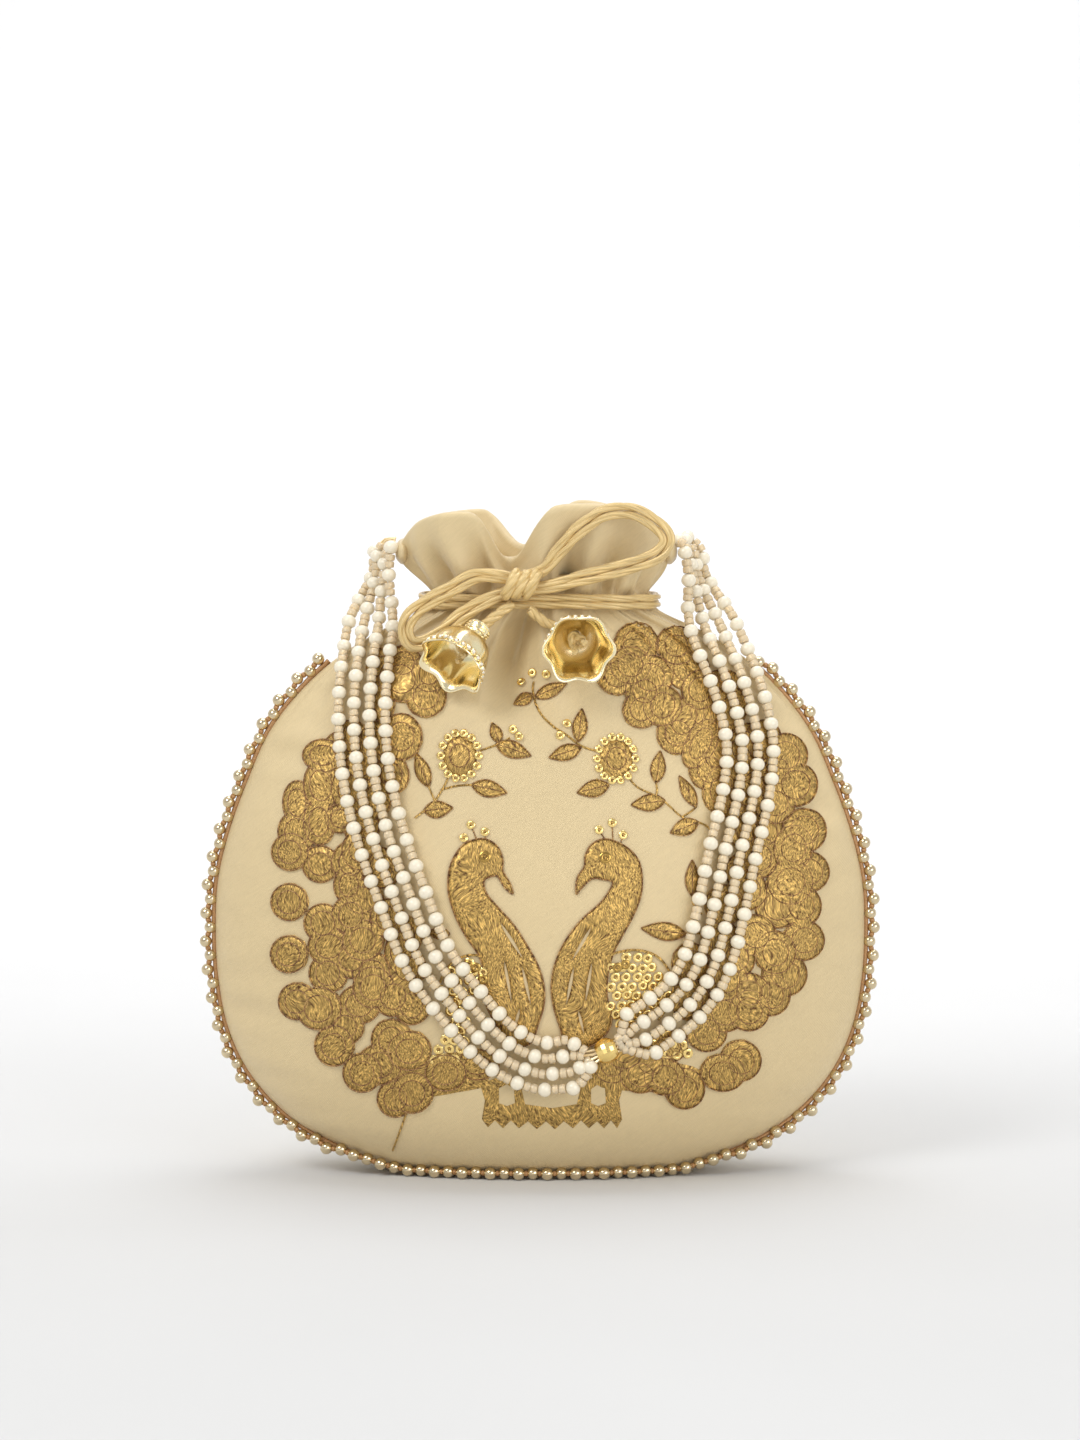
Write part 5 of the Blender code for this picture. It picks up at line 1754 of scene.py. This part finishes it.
def build_stage():
    """A pale floor that curves up into the backdrop, with painted shade that darkens it towards the
    front, soft lamps and the camera.
    """
    look = bpy.data.materials.new("pale studio paper")
    look.use_nodes = True
    tree = look.node_tree
    shader = tree.nodes["Principled BSDF"]
    shader.inputs["Roughness"].default_value = 0.9
    shader.inputs["Specular IOR Level"].default_value = 0.1
    where = node(tree, "ShaderNodeTexCoord").outputs["Object"]
    grain = node(
        tree, "ShaderNodeTexNoise", {"Vector": where, "Scale": 3.0, "Detail": 2.0}
    ).outputs["Fac"]
    # Painted fall-off of light: the paper is darker at the front and lighter up the backdrop, with a
    # little uneven tone from the grain.
    rise = node(tree, "ShaderNodeSeparateXYZ", {"Vector": where}).outputs["Y"]
    far = node(
        tree, "ShaderNodeMapRange", {"Value": rise, "From Min": -0.1, "From Max": 0.9}
    ).outputs["Result"]
    both = worked(tree, "ADD", far, worked(tree, "MULTIPLY", grain, 0.25))
    tint = ramp(tree, both, [(0.1, (0.63, 0.63, 0.625)), (1.0, (0.88, 0.88, 0.88))])
    tree.links.new(tint, shader.inputs["Base Color"])
    profile = [(-1.6, 0), (0.55, 0)]
    for i in range(1, 13):
        a = math.pi / 2 * i / 12
        profile.append((0.55 + 0.5 * math.sin(a), 0.5 - 0.5 * math.cos(a)))
    profile.append((1.05, 2.2))
    points = [(x, y, z) for y, z in profile for x in (-2.2, 2.2)]
    faces = [(2 * i, 2 * i + 1, 2 * i + 3, 2 * i + 2) for i in range(len(profile) - 1)]
    heap = Heap()
    heap.add(points, faces)
    floor = heap.make("studio_floor", [look], 0)

    world = bpy.data.worlds.new("studio")
    bpy.context.scene.world = world
    world.use_nodes = True
    tree = world.node_tree
    sky = tree.nodes["Background"]
    ways = node(tree, "ShaderNodeTexCoord").outputs["Generated"]
    part = node(tree, "ShaderNodeSeparateXYZ", {"Vector": ways})
    level = node(
        tree,
        "ShaderNodeMapRange",
        {
            "Value": part.outputs["Y"], "From Min": -0.9, "From Max": 0.5,
            "To Min": 0.25, "To Max": 1.0,
        },
    )
    shade = ramp(tree, level.outputs["Result"], [(0.25, (0.62, 0.62, 0.63)), (1.0, (1, 1, 1))])
    tree.links.new(shade, sky.inputs["Color"])
    sky.inputs["Strength"].default_value = 0.84

    def lamp(name, place, size, power):
        data = bpy.data.lights.new(name, "AREA")
        data.shape = "RECTANGLE"
        data.size, data.size_y = size
        data.energy = power
        made = bpy.data.objects.new(name, data)
        bpy.context.scene.collection.objects.link(made)
        made.location = place
        aimed = Vector((0, 0, 0.1)) - Vector(place)
        made.rotation_euler = aimed.to_track_quat("-Z", "Y").to_euler()

    lamp("key", (-1.0, -1.2, 1.5), (0.9, 0.9), 14)
    lamp("fill", (1.1, -1.3, 0.6), (1.2, 0.8), 8)
    lamp("low", (0.2, -1.5, 0.22), (1.6, 0.3), 1.4)
    lamp("top", (0.1, 0.3, 1.7), (1.2, 1.0), 11)

    lens = bpy.data.cameras.new("front view")
    lens.lens = 100
    lens.sensor_width = 36
    lens.clip_start = 0.05
    eye = bpy.data.objects.new("front view", lens)
    bpy.context.scene.collection.objects.link(eye)
    eye.location = EYE
    eye.rotation_euler = (AIM - EYE).to_track_quat("-Z", "Y").to_euler()
    bpy.context.scene.camera = eye
    bpy.context.scene.view_settings.view_transform = "Standard"


# ---- Operators ----


def looks_of(context):
    if "looks" not in MADE:
        MADE["looks"] = build_materials(context.scene.potli_colors)
    return MADE["looks"]


def cloth_skin():
    if "bag_cloth" not in MADE:
        raise RuntimeError("Build the cloth first: this step is laid on it.")
    if "skin" not in MADE:
        MADE["skin"] = skin_of(MADE["bag_cloth"])
    return MADE["skin"]


class POTLI_OT_stage(bpy.types.Operator):
    """Build the floor, the lamps and the camera"""

    bl_idname = "potli.stage"
    bl_label = "Stage"

    def execute(self, context):
        build_stage()
        return {"FINISHED"}


class POTLI_OT_cloth(bpy.types.Operator):
    """Build the satin bag with its pleats and ruffle"""

    bl_idname = "potli.cloth"
    bl_label = "Cloth"

    def execute(self, context):
        cloth = build_cloth(looks_of(context)["satin"])
        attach(cloth, "bag")
        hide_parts("bag_body", "bag_ruffle")
        return {"FINISHED"}


class POTLI_OT_embroidery(bpy.types.Operator):
    """Build the peacocks, tails, leaves and sequins"""

    bl_idname = "potli.embroidery"
    bl_label = "Embroidery"

    def execute(self, context):
        build_embroidery(cloth_skin(), looks_of(context), context.scene.potli_sizes)
        return {"FINISHED"}


class POTLI_OT_border(bpy.types.Operator):
    """Build the bead string and the gimp along the seam"""

    bl_idname = "potli.border"
    bl_label = "Border"

    def execute(self, context):
        build_border(cloth_skin(), looks_of(context), context.scene.potli_sizes)
        return {"FINISHED"}


class POTLI_OT_drawstring(bpy.types.Operator):
    """Build the cord round the neck, its bow and its knot"""

    bl_idname = "potli.drawstring"
    bl_label = "Drawstring"

    def execute(self, context):
        build_drawstring(looks_of(context))
        return {"FINISHED"}


class POTLI_OT_bells(bpy.types.Operator):
    """Build the two flower bells and the knotted cord ends in them"""

    bl_idname = "potli.bells"
    bl_label = "Bells"

    def execute(self, context):
        for name in BELLS:
            build_bell(name, looks_of(context))
            build_tail(name, looks_of(context))
        return {"FINISHED"}


class POTLI_OT_handle(bpy.types.Operator):
    """Build the four beaded strands and the gold bead that they pass through"""

    bl_idname = "potli.handle"
    bl_label = "Handle"

    def execute(self, context):
        build_handle(cloth_skin(), looks_of(context), context.scene.potli_sizes)
        build_tabs(looks_of(context))
        build_slider(looks_of(context))
        return {"FINISHED"}


STEPS = (
    POTLI_OT_stage,
    POTLI_OT_cloth,
    POTLI_OT_embroidery,
    POTLI_OT_border,
    POTLI_OT_drawstring,
    POTLI_OT_bells,
    POTLI_OT_handle,
)


class POTLI_PT_panel(bpy.types.Panel):
    """The bag's sizes, colours and steps"""

    bl_label = "Potli bag"
    bl_idname = "POTLI_PT_panel"
    bl_space_type = "VIEW_3D"
    bl_region_type = "UI"
    bl_category = "Potli bag"

    def draw(self, context):
        for holder in (context.scene.potli_sizes, context.scene.potli_colors):
            for key in holder.__annotations__:
                self.layout.prop(holder, key)
        for step in STEPS:
            self.layout.operator(step.bl_idname)


CLASSES = (PotliColors, PotliSizes, *STEPS, POTLI_PT_panel)


def register():
    for item in CLASSES:
        bpy.utils.register_class(item)
    bpy.types.Scene.potli_colors = bpy.props.PointerProperty(type=PotliColors)
    bpy.types.Scene.potli_sizes = bpy.props.PointerProperty(type=PotliSizes)


def unregister():
    del bpy.types.Scene.potli_sizes
    del bpy.types.Scene.potli_colors
    for item in reversed(CLASSES):
        bpy.utils.unregister_class(item)


def main():
    register()
    bpy.ops.potli.stage()
    bpy.ops.potli.cloth()
    bpy.ops.potli.embroidery()
    bpy.ops.potli.border()
    bpy.ops.potli.drawstring()
    bpy.ops.potli.bells()
    bpy.ops.potli.handle()


if __name__ == "__main__":
    main()
